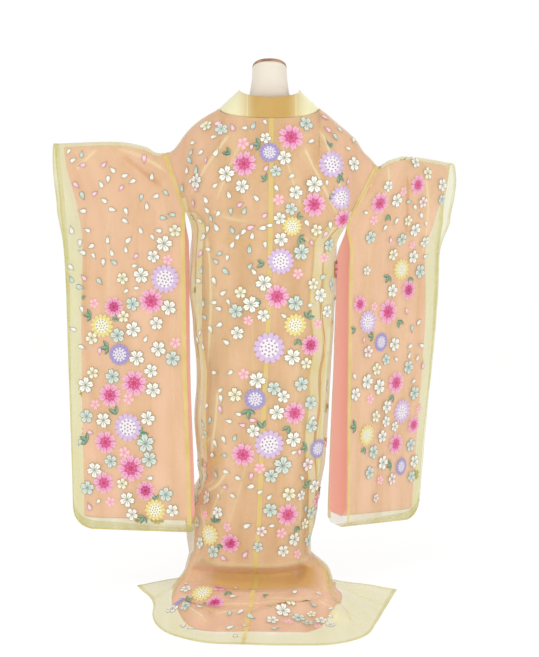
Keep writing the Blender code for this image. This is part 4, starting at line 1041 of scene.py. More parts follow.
def organza(name, code, pale, deep, alpha, thinner):
    """Silk organza: very fine hard-twisted threads with gaps between, so it is crisp and
    sheer.  Its ridges are painted paler as a painted highlight, and its troughs are painted
    more golden in the colour deep as painted shade; both are made denser, partly for the
    threads that lie one behind another there.  Thinner is how much less dense it is where
    no lining lies under it, and below nothing where it is denser there."""
    mat, tree, shader = finish(
        name, Roughness=0.42, IOR=1.5, Sheen_Weight=0.25, Sheen_Roughness=0.35,
        Specular_IOR_Level=0.35,
    )
    uv, threads, bump = weave(tree, ORGANZA_THREADS, 0.0002, 0.5)
    drawn = node(tree, "ShaderNodeMapping", {"Vector": uv, "Scale": (16.0, 3.2, 1.0)}).outputs[0]
    cloud = mapped(tree, noise(tree, drawn, 1.0, 4.0), 0.34, 0.66)
    sheer, fold = (
        node(tree, "ShaderNodeAttribute", attribute_name=layer).outputs["Fac"]
        for layer in ("sheer", "fold")
    )
    # masks of the painted light: ridge for the painted highlight, trough for the painted shade
    ridge = mapped(tree, fold, 0.52, 1.0)
    trough = mapped(tree, fold, 0.48, 0.0)
    alone = mix(tree, sheer, mix(tree, cloud, code, pale), "#D8CF7A")
    # painted highlight: ridges mixed towards a pale yellow
    painted_highlit = mix(tree, ridge, alone, mix(tree, sheer, "#F7F0BC", "#EDE5A4"))
    # painted shade: troughs mixed towards the golden colour deep
    golden = mix(tree, trough, painted_highlit, deep)
    holes = mapped(tree, threads, 0.3, 2.2, alpha - 0.06, alpha + 0.06)
    watery = maths(tree, "MULTIPLY_ADD", cloud, -0.10, holes)
    thin = maths(tree, "MULTIPLY_ADD", sheer, -thinner, watery)
    # denser on ridges and in troughs, partly for the layered threads and partly to go with the painted light
    dense = maths(tree, "MULTIPLY_ADD", maths(tree, "ADD", ridge, trough), 0.30, thin)
    tree.links.new(dense, shader.inputs["Alpha"])
    lay(tree, shader, golden, bump)
    return mat


# The fourth colour of each is the painted shade in its troughs.
ORGANZA = organza("yellow_silk_organza", "#CDBB6A", "#DFD894", "#C98F4E", 0.38, -0.08)
BODY_ORGANZA = organza("yellow_silk_organza_body", "#C0A854", "#D9CD86", "#DDBB60", 0.47, -0.16)
SEAMED = organza("yellow_silk_organza_seam", "#E2CE6C", "#F0E190", "#D6AE5C", 0.68, 0.0)
TURNED = organza("yellow_silk_organza_turned", "#D3C966", "#E3DA86", "#D6AE5C", 0.52, 0.0)
FACING = organza("yellow_silk_organza_facing", "#CFCA78", "#DEDA9C", "#D6AE5C", 0.40, 0.0)
PLEATED = organza("yellow_silk_organza_pleated", "#E9DFA0", "#F6F0CC", "#D6AE5C", 0.66, 0.0)

# Organza folded into a stiff band over a core: opaque, deeper and more golden behind
# the neck, partly for its folded layers and partly as painted shade, and paler down the
# fronts, with a pressed line at each side of the neck.
BAND, tree, shader = finish(
    "yellow_silk_organza_band", Roughness=0.45, Sheen_Weight=0.3, Sheen_Roughness=0.4,
    Specular_IOR_Level=0.35,
)
uv, threads, bump = weave(tree, ORGANZA_THREADS, 0.0003, 0.6)
aside = node(tree, "ShaderNodeSeparateXYZ", {"Vector": own_place(tree)}).outputs["X"]
far = maths(tree, "ABSOLUTE", maths(tree, "SUBTRACT", aside, 0.006))
sides = mapped(tree, far, 0.038, 0.104, interpolation_type="SMOOTHSTEP")
line = mapped(
    tree, maths(tree, "ABSOLUTE", maths(tree, "SUBTRACT", far, 0.066)), 0.0006, 0.0022, 0.55, 0.0
)
# golden behind the neck: partly the band's layers, partly painted shade
neck = mix(tree, noise(tree, uv, 14.0, 5.0), "#C49A50", "#D0AC64")
tone = mix(tree, line, mix(tree, sides, neck, "#F6F0C2"), "#F4EAB0")
lay(tree, shader, tone, bump)

# Plain-woven rayon lining: soft, matt, with faint slubs and a slight sheen along folds.  It
# has a painted glow, which stands in for light coming through it from behind and lifts it
# where it lies in shade.
LINING, tree, shader = finish(
    "peach_plain_weave_lining", Emission_Color=colour("#F2C4B0"), Emission_Strength=0.28,
    Roughness=0.72, Sheen_Weight=0.35, Sheen_Roughness=0.5, Specular_IOR_Level=0.25,
)
uv, threads, bump = weave(tree, LINING_THREADS, 0.00035, 0.8)
lay(tree, shader, mix(tree, noise(tree, uv, 6.0, 5.0), "#D9A89D", "#E1B3A8"), bump)

# Hand-tinted motifs with a raised outline of gold paste: the tint is carried by each
# shape's own points, and fine brush grain breaks it up.
TINT, tree, shader = finish("tinted_print_and_gold_paste", Roughness=0.5, Specular_IOR_Level=0.3)
tint = node(tree, "ShaderNodeAttribute", attribute_name="tint").outputs["Color"]
grain = noise(tree, own_place(tree), 420.0, 3.0)
tone = mix(tree, 1.0, tint, mapped(tree, grain, 0.25, 0.75, 0.86, 1.08), blend_type="MULTIPLY")
lay(tree, shader, tone, bumps(tree, grain, 0.3, 0.0003))

# Cotton jersey drawn over a padded form: off-white, matt, with fine knitted rows.
COVER, tree, shader = finish("off_white_cotton_jersey", Roughness=0.85, Sheen_Weight=0.3, Sheen_Roughness=0.6)
rows = bands(tree, own_place(tree), 0.0016, 1.2, 2.0, bands_direction="Z")
tone = mix(tree, noise(tree, own_place(tree), 30.0, 4.0), "#E6DCCB", "#EEE5D6")
lay(tree, shader, tone, bumps(tree, rows, 0.3, 0.0003))

# Turned beech with brown varnish: rings of grain under a smooth satin coat.
WOOD, tree, shader = finish("brown_varnished_beech", Roughness=0.38, Coat_Weight=0.4, Coat_Roughness=0.2)
stretch = {"Vector": own_place(tree), "Scale": (1.0, 1.0, 0.25)}
stretched = node(tree, "ShaderNodeMapping", stretch).outputs[0]
rings = bands(tree, stretched, 0.004, 5.0, 3.0, wave_type="RINGS")
lay(tree, shader, mix(tree, rings, "#92634A", "#B98A6C"), bumps(tree, rings, 0.15, 0.0002))

# Steel with a cream powder coat: an even, faintly pebbled paint, worn a little darker.
PAINT, tree, shader = finish("cream_powder_coated_steel", Roughness=0.45)
tone = mix(tree, noise(tree, own_place(tree), 18.0, 6.0), "#D6CFC0", "#E6E0D4")
pebble = noise(tree, own_place(tree), 900.0, 2.0)
lay(tree, shader, tone, bumps(tree, pebble, 0.2, 0.0002))

FLOOR, tree, shader = finish(
    "matt_white_studio_floor", Roughness=0.9, Specular_IOR_Level=0.1,
    Emission_Color=(1.0, 1.0, 1.0, 1.0), Emission_Strength=0.86,
)
lay(tree, shader, mix(tree, noise(tree, own_place(tree), 3.0, 4.0), "#6A6A69", "#6E6E6D"))

# ---------------------------------------------------------------- motifs
# A motif is a few flat patches about the middle of a flower 1 m in radius: points with how
# high they lie, faces, and a tint for each point.
PETAL = ((0.0, 0.0), (0.28, 0.18), (0.62, 0.35), (0.97, 0.22), (0.86, 0.0),
         (0.97, -0.22), (0.62, -0.35), (0.28, -0.18))
NOTCHED = ((0.0, 0.0), (0.36, 0.13), (0.70, 0.25), (1.0, 0.15), (0.88, 0.0),
           (1.0, -0.15), (0.70, -0.25), (0.36, -0.13))
LOOSE = ((0.0, 0.0), (0.34, 0.15), (0.68, 0.25), (0.98, 0.13), (0.88, 0.0),
         (0.98, -0.13), (0.68, -0.25), (0.34, -0.15))
SLIM = ((0.0, 0.013), (1.0, 0.022), (1.0, -0.022), (0.0, -0.013))
HALF_LEAF = ((0.0, 0.0), (0.20, 0.12), (0.46, 0.21), (0.76, 0.14), (1.0, 0.0))
DOT = tuple((math.cos(i * math.pi / 3), math.sin(i * math.pi / 3)) for i in range(6))


def lobed(lobes, each, depth, teeth=0.0):
    """A round outline with this many lobes, each of so many points, and fine teeth."""
    out = []
    for i in range(lobes * each):
        a = i / (lobes * each) * 2 * math.pi
        r = 1 - depth * (1 - abs(math.sin(a * lobes / 2))) ** 1.6 - (teeth if i % 2 else 0)
        out.append((r * math.cos(a), r * math.sin(a)))
    return tuple(out)


def patch(
    shape, rim, hub, lift, turn=0.0, size=1.0, away=0.0, flat=False, grow=0.0, base=None, ring=False
):
    """One filled outline, fanned from its middle, turned and moved out from the flower's;
    grow widens it all round, base is the tint of its first point and a ring of points half
    way out lets a wide one follow the cloth."""
    bm = bmesh.new()
    bmesh.ops.create_circle(bm, cap_ends=True, cap_tris=not flat, segments=len(shape), radius=1.0)
    outline = np.array(shape) * size + (away, 0)
    middle = outline.mean(0)
    span = np.abs(outline - middle).max(0)
    outline = middle + (outline - middle) * (1 + grow / span)
    tint = {}
    for v in bm.verts:
        if v.co.length < 0.5:
            v.co = (*middle, 0)
            tint[v] = colour(hub)
        else:
            i = round(math.atan2(v.co.y, v.co.x) / (2 * math.pi) * len(shape)) % len(shape)
            v.co = (*outline[i], 0)
            tint[v] = colour(base if base and i == 0 else rim)
    if ring:
        spans = [e for e in bm.edges if not e.is_boundary]
        bmesh.ops.subdivide_edges(bm, edges=spans, cuts=1)
        between = tuple((a + b) / 2 for a, b in zip(colour(rim), colour(hub)))
        for v in bm.verts:
            tint.setdefault(v, between)
    bmesh.ops.rotate(bm, verts=bm.verts, matrix=Matrix.Rotation(turn, 3, "Z"), cent=(0, 0, 0))
    bm.verts.index_update()
    points = np.array([(v.co.x, v.co.y, lift) for v in bm.verts])
    faces = [[v.index for v in f.verts] for f in bm.faces]
    tints = np.array([tint[v] for v in bm.verts])
    bm.free()
    return points, faces, tints


def motif(*patches):
    """Patches joined as one shape."""
    points, faces, tints, count = [], [], [], 0
    for p, f, t in patches:
        points.append(p)
        tints.append(t)
        faces += [[i + count for i in face] for face in f]
        count += len(p)
    return np.concatenate(points), faces, np.concatenate(tints)


def spokes(n, shape, rim, hub, lift, size=1.0, away=0.0, start=0.0, **more):
    """So many of one patch, evenly round the middle."""
    turns = [start + i * 2 * math.pi / n for i in range(n)]
    return [patch(shape, rim, hub, lift, turn, size, away, **more) for turn in turns]


def sakura(rim, hub, base, line="#85826A", stamen="#6A6650"):
    """A five-petalled cherry blossom, its notched petals finely outlined, with long
    stamens."""
    return motif(
        *spokes(5, PETAL, line, line, 0.00110, 1.0, grow=0.045),
        *spokes(5, PETAL, rim, hub, 0.00160, 0.95, 0.015, base=base),
        *spokes(5, SLIM, stamen, stamen, 0.00176, 0.50, 0.02, flat=True),
        *spokes(5, DOT, stamen, stamen, 0.00176, 0.040, 0.50, flat=True),
    )


def double_blossom(rim, mid, heart):
    """A full pink blossom: eight notched petals, pale at their tips, over darker ones that
    show between them, and a deep heart with its stamens."""
    return motif(
        patch(lobed(8, 4, 0.20), "#C9709A", mid, 0.00150, 0.39, 0.90, ring=True),
        *spokes(8, NOTCHED, "#F4BFD4", rim, 0.00185, base=mid),
        patch(lobed(8, 4, 0.30), mid, heart, 0.00212, 0.0, 0.54),
        *spokes(12, DOT, "#8E2F58", "#8E2F58", 0.00228, 0.036, 0.60, 0.2, flat=True),
        *spokes(7, DOT, "#F8D6C0", "#F8D6C0", 0.00228, 0.040, 0.25, flat=True),
    )


def chrysanthemum(rim, hub, line, speck):
    """A round of very many narrow petals, tinted at the edge and white towards a speckled
    middle."""
    return motif(
        patch(lobed(14, 4, 0.20), rim, hub, 0.00170, 0, 1.0, ring=True),
        *spokes(14, SLIM, line, line, 0.00190, 0.44, 0.54, flat=True),
        patch(lobed(11, 4, 0.24), hub, "#FBF8F4", 0.00205, 0.1, 0.64, ring=True),
        *spokes(11, DOT, speck, speck, 0.00222, 0.062, 0.47, 0.1, flat=True),
        *spokes(6, DOT, speck, speck, 0.00222, 0.064, 0.24, 0.3, flat=True),
        *spokes(1, DOT, speck, speck, 0.00222, 0.064, 0.0, flat=True),
    )


def leaf(size, turn):
    """One pointed leaf, half light and half dark, with a fine edge; its stalk's end is at
    the middle."""
    whole = HALF_LEAF + tuple((x, -y) for x, y in HALF_LEAF[-2:0:-1])
    other = tuple((x, -y) for x, y in HALF_LEAF[::-1])
    return [
        patch(whole, "#43604E", "#43604E", 0.00110, turn, size, flat=True, grow=0.03),
        patch(HALF_LEAF, "#66876E", "#7C9C80", 0.00135, turn, size * 0.96, 0.02),
        patch(other, "#8FAE90", "#A2BFA0", 0.00135, turn, size * 0.96, 0.02),
    ]


def loose_petal(rim, hub, base, line):
    """One fallen petal with its outline."""
    return motif(
        patch(LOOSE, line, line, 0.00105, 0, 1.0, -0.55, grow=0.060),
        patch(LOOSE, rim, hub, 0.00145, 0, 0.95, -0.525, base=base),
    )


MOTIFS = {
    "white": sakura("#FBF9F0", "#F0EEE0", "#B9BFA8"),
    "mint": sakura("#DFEAE0", "#CAD9CD", "#9AB0A4"),
    "cream": sakura("#F6F0CE", "#F8F4E2", "#CDBB7C"),
    "blush": sakura("#F6E2DC", "#FBEFE8", "#D59690", "#94766A"),
    "soft": motif(*spokes(5, PETAL, "#F3B9C4", "#F8D2D4", 0.00130, base="#E99AAA")),
    "pink": double_blossom("#EA9CC0", "#DC6398", "#C7406F"),
    "rose": double_blossom("#E58CB2", "#D2508C", "#B53362"),
    "lilac": chrysanthemum("#C79ED6", "#EADCEC", "#9F78B6", "#54405A"),
    "violet": chrysanthemum("#7E68B2", "#CDC2E4", "#56438E", "#3E3058"),
    "yellow": chrysanthemum("#DFCB58", "#F4EDB8", "#AE9434", "#4E4628"),
    "leaves": motif(*leaf(1.0, 0.5), *leaf(0.95, -0.45), *leaf(0.8, 1.5)),
    "pair": motif(*leaf(1.0, 0.35), *leaf(0.9, -0.6)),
    "petal": loose_petal("#FBF9F0", "#F0EFE2", "#C9CDB9", "#8C8C78"),
    "mint_petal": loose_petal("#DBE7DD", "#C4D6C9", "#94AFA1", "#6A8076"),
    "pink_petal": loose_petal("#F3CEDA", "#F6DADE", "#DC98AE", "#A8707F"),
}

# Bunches of motifs in millimetres about their own middle: kind, x, y, across, turn.
BUNCHES = {
    "large": (
        ("lilac", 0, 0, 76, 10), ("pink", -62, -46, 62, 30), ("white", 58, 34, 42, 0),
        ("mint", 50, -44, 46, 25), ("leaves", 34, -18, 30, -35), ("soft", -10, -66, 32, 0),
        ("white", -52, 28, 36, 50), ("pair", -30, 40, 28, 110), ("petal", 20, 66, 18, 40),
    ),
    "golden": (
        ("yellow", 0, 0, 62, 0), ("rose", 44, -54, 58, 15), ("white", -50, -16, 40, 20),
        ("mint", -22, -58, 42, 60), ("leaves", 34, 24, 28, 30), ("cream", -28, 46, 38, 5),
        ("pair", 8, -36, 24, -110), ("soft", 66, 0, 30, 30),
    ),
    "dusk": (
        ("violet", 0, 0, 58, 20), ("white", 48, -14, 44, 40), ("blush", -44, -28, 40, 10),
        ("leaves", -28, 22, 28, 140), ("cream", 18, 52, 40, 0), ("mint", 20, -56, 36, 30),
        ("pink_petal", -56, 16, 18, 80),
    ),
    "rosy": (
        ("pink", 0, 0, 68, 0), ("white", 56, 10, 44, 15), ("mint", -52, 22, 42, 45),
        ("soft", -20, -56, 34, 0), ("pair", 26, -38, 28, -60), ("white", 24, 58, 38, 70),
        ("petal", -50, -30, 18, 10),
    ),
    "snow": (
        ("white", 0, 0, 44, 0), ("mint", 44, -22, 40, 30), ("white", -36, -34, 36, 60),
        ("soft", 8, -50, 30, 0), ("cream", 30, 36, 34, 20), ("petal", -38, 20, 18, 120),
    ),
}

# Where the bunches lie: the middle in millimetres, a turn in degrees, whether it is mirrored,
# and its size in hundredths.  On the upright cloth the middle is x and z, and on the train x
# and y.
BUNCH_PLACES = {
    "back": (
        ("rosy", 60, 1290, 20, 1, 95), ("dusk", 0, 1250, 0, 0, 85), ("snow", 20, 1315, 0, 0, 80),
        ("snow", 110, 1250, 40, 1, 90), ("large", 195, 1130, 60, 0, 80), ("dusk", 135, 430, 20, 0, 90),
        ("snow", 130, 640, 0, 1, 95), ("rosy", 135, 280, 90, 0, 80), ("snow", 140, 860, 70, 0, 90),
        ("golden", 140, 190, 0, 0, 75), ("large", 170, 1220, -30, 0, 90), ("rosy", -70, 1220, 200, 0, 95),
        ("rosy", 120, 1110, 80, 0, 95), ("golden", 60, 1050, 160, 1, 80), ("large", 30, 960, 60, 0, 90),
        ("rosy", 20, 860, -40, 1, 95), ("snow", 120, 1000, 30, 0, 90), ("golden", 70, 780, 0, 0, 95),
        ("large", 0, 720, 190, 1, 100), ("rosy", -80, 700, 30, 0, 95), ("snow", -50, 840, 0, 1, 95),
        ("dusk", -40, 580, 100, 0, 100), ("rosy", 70, 540, 10, 1, 90), ("large", 0, 450, -15, 0, 100),
        ("snow", 90, 460, 80, 0, 90), ("snow", 50, 360, 200, 0, 95), ("rosy", 50, 250, 0, 0, 90),
        ("dusk", 100, 290, 45, 1, 90), ("snow", 70, 180, 0, 0, 90), ("golden", -165, 190, 30, 0, 85),
        ("snow", -175, 280, 0, 1, 85),
    ),
    "front_left": (
        ("rosy", -175, 1250, 60, 0, 90), ("snow", -120, 1320, 0, 0, 85), ("large", -140, 1160, 20, 1, 90),
        ("rosy", -130, 940, 0, 0, 90), ("golden", -160, 760, 60, 1, 90), ("dusk", -130, 580, 10, 0, 90),
        ("large", -170, 400, 200, 0, 90), ("snow", -150, 240, 0, 1, 95),
    ),
    "front_right": (
        ("golden", 175, 1270, 30, 0, 90), ("snow", 120, 1330, 50, 1, 85), ("rosy", 130, 1180, 0, 1, 90),
        ("large", 140, 980, 90, 0, 90), ("snow", 160, 820, 20, 1, 90), ("golden", 130, 660, 0, 0, 90),
        ("rosy", 160, 480, 30, 0, 90), ("dusk", 140, 320, 70, 0, 90),
    ),
    "sleeve_left": (
        ("snow", -290, 1000, 0, 0, 95), ("large", -290, 900, 20, 1, 100), ("rosy", -330, 840, 170, 1, 95),
        ("snow", -410, 860, 40, 0, 100), ("snow", -380, 760, 0, 1, 100),
        ("golden", -470, 770, 110, 0, 95), ("dusk", -420, 690, 10, 0, 100),
        ("snow", -310, 710, 120, 1, 100), ("rosy", -380, 610, -30, 0, 100),
        ("rosy", -450, 570, 60, 1, 95), ("snow", -520, 600, 10, 0, 95), ("large", -400, 480, 0, 0, 100),
        ("dusk", -500, 410, 80, 1, 100), ("rosy", -390, 370, 0, 1, 105), ("snow", -470, 500, 200, 0, 95),
        ("golden", -320, 250, 170, 0, 90), ("rosy", -470, 320, 40, 0, 90), ("snow", -400, 280, 60, 0, 95),
    ),
    "sleeve_right": (
        ("golden", 300, 1190, 20, 0, 85), ("large", 370, 1200, 0, 1, 85), ("dusk", 460, 1150, 30, 0, 85),
        ("rosy", 310, 1110, 0, 0, 85), ("snow", 420, 1030, 0, 1, 90), ("golden", 380, 920, 60, 1, 95),
        ("rosy", 340, 800, 10, 0, 100), ("large", 280, 770, 150, 1, 80), ("dusk", 320, 710, 0, 0, 90),
        ("rosy", 370, 590, 20, 1, 95), ("snow", 280, 600, 0, 0, 100), ("large", 390, 500, 90, 0, 85),
        ("golden", 280, 450, 0, 1, 95), ("snow", 340, 520, 45, 0, 90), ("rosy", 370, 400, 190, 0, 90),
        ("dusk", 390, 330, 20, 0, 90), ("snow", 330, 350, 0, 1, 95),
    ),
    "train": (
        ("golden", -185, -170, 0, 0, 85), ("rosy", -135, -145, 60, 1, 80),
        ("dusk", -235, -215, 30, 1, 80), ("snow", -200, -110, 0, 0, 90), ("snow", 35, -300, 10, 0, 90),
        ("snow", 135, -325, 0, 1, 75),
    ),
}

# Loose petals drift down the cloth between the bunches: a box in x and z (or x and y), how
# many are tried in it, and which kinds.
DRIFTS = {
    "back": (
        ("blooms", -0.04, 0.14, 0.14, 1.28, 80), ("petals", -0.24, 0.24, 1.02, 1.36, 340),
        ("petals", -0.20, -0.05, 0.62, 1.04, 90), ("petals", -0.19, -0.04, 0.12, 0.62, 110),
        ("petals", -0.05, 0.16, 0.14, 1.10, 90),
    ),
    "front_left": (("petals", -0.22, -0.05, 0.14, 1.30, 70), ("blooms", -0.20, -0.08, 0.14, 1.2, 22)),
    "front_right": (("petals", 0.05, 0.22, 0.14, 1.30, 70), ("blooms", 0.08, 0.20, 0.14, 1.2, 22)),
    "sleeve_left": (
        ("petals", -0.56, -0.25, 0.92, 1.26, 84), ("petals", -0.56, -0.44, 0.70, 0.94, 16),
        ("blooms", -0.54, -0.34, 0.24, 0.90, 60), ("petals", -0.55, -0.36, 0.22, 0.90, 20),
    ),
    "sleeve_right": (
        ("petals", 0.26, 0.44, 1.00, 1.12, 14), ("petals", 0.36, 0.47, 0.62, 0.98, 34),
        ("blooms", 0.26, 0.44, 0.24, 1.18, 50), ("petals", 0.26, 0.44, 0.24, 0.7, 16),
    ),
    "train": (("petals", -0.26, 0.24, -0.44, -0.14, 40), ("blooms", -0.20, 0.18, -0.38, -0.18, 7)),
}
PETAL_KINDS = ("petal", "petal", "petal", "petal", "mint_petal", "pink_petal")
BLOOM_KINDS = ("white", "white", "mint", "cream", "soft", "blush", "leaves", "pair")


LEAFY_KINDS = ("leaves", "pair")
SINGLE_KINDS = ("white", "mint", "cream", "blush")
GROWN = {"petal": 2.25, "mint_petal": 2.25, "pink_petal": 2.25, "leaves": 0.9, "pair": 0.9}
FRONT_TURN = 25  # degrees by which each bunch is turned on a sleeve's front leaf
FRONT_SHIFT = -0.02  # and how far up it is moved
FRONT_FROM, FRONT_TO = -0.525, 0.45  # the x between which motifs lie on a front leaf
CLOSE = 0.93  # two motifs keep at least this share of their rooms apart
FAR = 0.008  # a motif whose place is further than this from the cloth is left out
MISS = 0.0008  # and so is one that cannot be laid along it to this nearness


def motif_places(name, front=False):
    """Every motif of a panel: kind, two numbers for its place, its room, its turn and its
    radius.  A sleeve's front leaf has its back leaf's bunches, turned and moved a little."""
    rng = np.random.default_rng(sum(map(ord, name)) + (7 if front else 0))
    shift = FRONT_SHIFT if front else 0
    out, wanted = [], []

    def free(x, y, r, close=CLOSE):
        return all((x - q[1]) ** 2 + (y - q[2]) ** 2 > ((r + q[3]) * close) ** 2 for q in out)

    def on_panel(x):
        return not front or FRONT_FROM < x < FRONT_TO

    for bunch, x, y, turn, mirrored, size in BUNCH_PLACES[name]:
        x, y, size = x / 1000, y / 1000 + shift, size / 100
        a = math.radians(turn + (FRONT_TURN if front else 0))
        flip = -1 if mirrored else 1
        for kind, dx, dy, across, spin in BUNCHES[bunch]:
            dx, dy = dx * flip * size / 1000, dy * size / 1000
            px = x + dx * math.cos(a) - dy * math.sin(a)
            py = y + dx * math.sin(a) + dy * math.cos(a)
            r = across * size / 2000 * rng.uniform(0.95, 1.05)
            r *= 1.14 if kind in SINGLE_KINDS else 1.08
            way = math.atan2(dy * math.cos(a) + dx * math.sin(a), dx * math.cos(a) - dy * math.sin(a))
            if on_panel(px):
                wanted.append((r, kind, px, py, math.radians(spin) + a, way))
    for r, kind, px, py, spin, way in sorted(wanted, key=lambda w: -w[0]):
        if kind in LEAFY_KINDS:
            if free(px, py, r * 0.7, 0.75):
                out.append((kind, px, py, r * 0.9, way, r * 2))
        elif free(px, py, r, CLOSE if r > 0.026 else 0.84):
            out.append((kind, px, py, r, spin, r))
    for what, x0, x1, y0, y1, tries in DRIFTS[name]:
        for _ in range(tries):
            px, py = rng.uniform(x0, x1), rng.uniform(y0, y1) + shift
            if not on_panel(px):
                continue
            if what == "petals":
                kind, r = PETAL_KINDS[rng.integers(len(PETAL_KINDS))], rng.uniform(0.0088, 0.0116)
                room = r * rng.uniform(0.95, 1.6)
            else:
                kind = BLOOM_KINDS[rng.integers(len(BLOOM_KINDS))]
                r = rng.uniform(0.014, 0.021)
                room = r * 1.05
            if free(px, py, room):
                out.append((kind, px, py, room, rng.uniform(0, 6.28), r))
    return out


def motifs_on(c, places, train=False):
    """The motifs laid along a chart's cloth, as points, faces and tints."""
    pts, faces, tints, count = [], [], [], 0
    p, n = c["p"], c["n"]
    second = p[..., 1] if train else p[..., 2]
    for kind, x, y, _, turn, r in places:
        far = (p[..., 0] - x) ** 2 + (second - y) ** 2
        if train:
            far = far + np.where(n[..., 2] < 0.2, 1.0, 0)
        row, column = np.unravel_index(np.argmin(far), far.shape)
        if far[row, column] > FAR**2:
            continue
        shape, its_faces, its_tints = MOTIFS[kind]
        grow = GROWN.get(kind, 1.0)
        c1, s1 = math.cos(turn), math.sin(turn)
        sx, sy = shape[:, 0] * r * grow, shape[:, 1] * r * grow
        q, miss = walk(
            c, np.array([float(row)]), np.array([float(column)]),
            (sx * c1 - sy * s1)[None, :], (sx * s1 + sy * c1)[None, :], shape[None, :, 2],
        )
        if miss[0] > MISS:
            continue
        pts.append(q[0])
        tints.append(its_tints)
        faces += [[i + count for i in f] for f in its_faces]
        count += len(shape)
    return pts, faces, tints


def motif_object(name, made):
    """Joins motifs into one mesh with the tint as a colour on each point."""
    pts, faces, tints = made
    mesh = bpy.data.meshes.new(name)
    mesh.from_pydata(np.concatenate(pts).tolist(), [], faces)
    layer = mesh.color_attributes.new("tint", "FLOAT_COLOR", "POINT")
    layer.data.foreach_set("color", np.concatenate(tints).astype(np.float32).ravel())
    mesh.materials.append(TINT)
    obj = bpy.data.objects.new(name, mesh)
    obj.visible_shadow = False  # a print lies in the cloth and throws none on it
    bpy.context.scene.collection.objects.link(obj)
    return obj


def joined(*made):
    """Several charts' motifs as one."""
    pts, faces, tints, count = [], [], [], 0
    for p, f, t in made:
        pts += p
        tints += t
        faces += [[i + count for i in face] for face in f]
        count += sum(len(x) for x in p)
    return pts, faces, tints


# ---------------------------------------------------------------- the body
SIDES = ((-1, "left"), (1, "right"))
NECK_COLUMN = 39  # the back's column at the neck seam's end, and the lining's
LINING_NECK_COLUMN = 11
PLEATS_END = -106  # the row where the side pleats end, counted up from the hem
TURNINGS_END = -44  # and the one where the side seam's turnings do
PLEATS_WIDE = {"left": 0.100, "right": 0.120}
BACK_S = SIDE_SEAM * np.r_[np.linspace(0, NECK_SHARE, 40), np.linspace(NECK_SHARE, 1, 51)[1:]]
FRONT_S = np.linspace(SIDE_SEAM, FRONT_SEAM, 54)
LAP_START = np.searchsorted(BODY_V, V_COLLAR_STEP) - LOWER  # the overlap's first row below the collar
panels = {}
for side, word in SIDES:
    panels["back_" + word] = body_panel(side, "back", *grid(BODY_V, BACK_S))
    panels["front_" + word] = body_panel(side, "front", *grid(BODY_V, FRONT_S))
    v, share = grid(BODY_V[LOWER:], np.linspace(0, 1, 14))
    panels["overlap_" + word] = body_panel(side, "front", v, okumi_s(v, share))
middle = (panels["back_left"]["p"][:, 0] + panels["back_right"]["p"][:, 0]) / 2
for side, word in SIDES:
    back, front, overlap = (panels[part + word]["p"] for part in ("back_", "front_", "overlap_"))
    back[:, 0] = middle
    seam = (back[LOWER:, -1] + front[LOWER:, 0]) / 2
    back[LOWER:, -1] = seam
    front[LOWER:, 0] = seam
    front[0, ::-1] = along(back[0, NECK_COLUMN:], np.linspace(0, 1, front.shape[1]))
    overlap[:, 0] = front[LOWER:, -1]

LINING_LAST = 2.86
LINING_V = np.r_[
    np.linspace(0, 1, 25)[:-1], np.linspace(1, 2, 61)[:-1], np.linspace(2, LINING_LAST, 60)
]
LINING_LOWER = 24  # its first row at the armhole's end


def lining_rows(s):
    """The lining's rows down the cloth, which close up over the train to end at its hem."""
    v = np.repeat(LINING_V[:, None], len(s), 1)
    same = 2.45
    hem = np.clip(2 + smooth(s, LINING_HEM["s"], LINING_HEM["reach"]), same + 0.03, LINING_LAST)
    return np.where(v > same, same + (v - same) / (LINING_LAST - same) * (hem[None, :] - same), v)


def lining_panel(side, face, v, s):
    """The points of a panel of the lining, with its own creases and the organza's rolls."""
    s = np.array(np.broadcast_to(s, v.shape))
    p = lining_point(side, face, v, s)
    n = face_normal(body_point, side, face, v, s, 0.012)
    if face == "back":
        n[:, 0, 0] = 0
    mirror = 1 if face == "back" else -1
    crease, _ = crease_height(LINING_CREASES["back"], p[..., 0] * mirror, p[..., 2])
    waves = np.clip(crease + ripple(p, 0.22, 0.0012, 31), -0.004, 0.0016)
    waves = waves * ramp(v, 0.05, 0.3) * (1 - ramp(v, 1.9, 2.05))
    out = p + n * waves[..., None]
    out[..., 2] += heap(p, v)
    return out


def lining_charts(side):
    """The lining's back, front and overlap, sharing their edges."""
    s = SIDE_SEAM * np.r_[np.linspace(0, NECK_SHARE, 12), np.linspace(NECK_SHARE, 1, 17)[1:]]
    back = lining_panel(side, "back", lining_rows(s), s)
    s = np.linspace(SIDE_SEAM, FRONT_SEAM, 16)
    front = lining_panel(side, "front", lining_rows(s), s)
    front[LINING_LOWER:, 0] = back[LINING_LOWER:, -1]
    front[0, ::-1] = along(back[0, LINING_NECK_COLUMN:], np.linspace(0, 1, 16))
    share = np.linspace(0, 1, 8)
    v = lining_rows(FRONT_SEAM + share * (1 - FRONT_SEAM))[LINING_LOWER:]
    edge = okumi_s(v, 1.0) - 0.014
    lap = lining_panel(side, "front", v, FRONT_SEAM + (edge - FRONT_SEAM) * share[None, :])
    lap[:, 0] = front[LINING_LOWER:, -1]
    return [back, front, lap]


def on_one_chart(left, right):
    """The two halves of the back as one chart, from the left side seam to the right one."""
    return {k: np.concatenate([left[k][:, ::-1], right[k][:, 1:]], 1) for k in ("p", "n")}


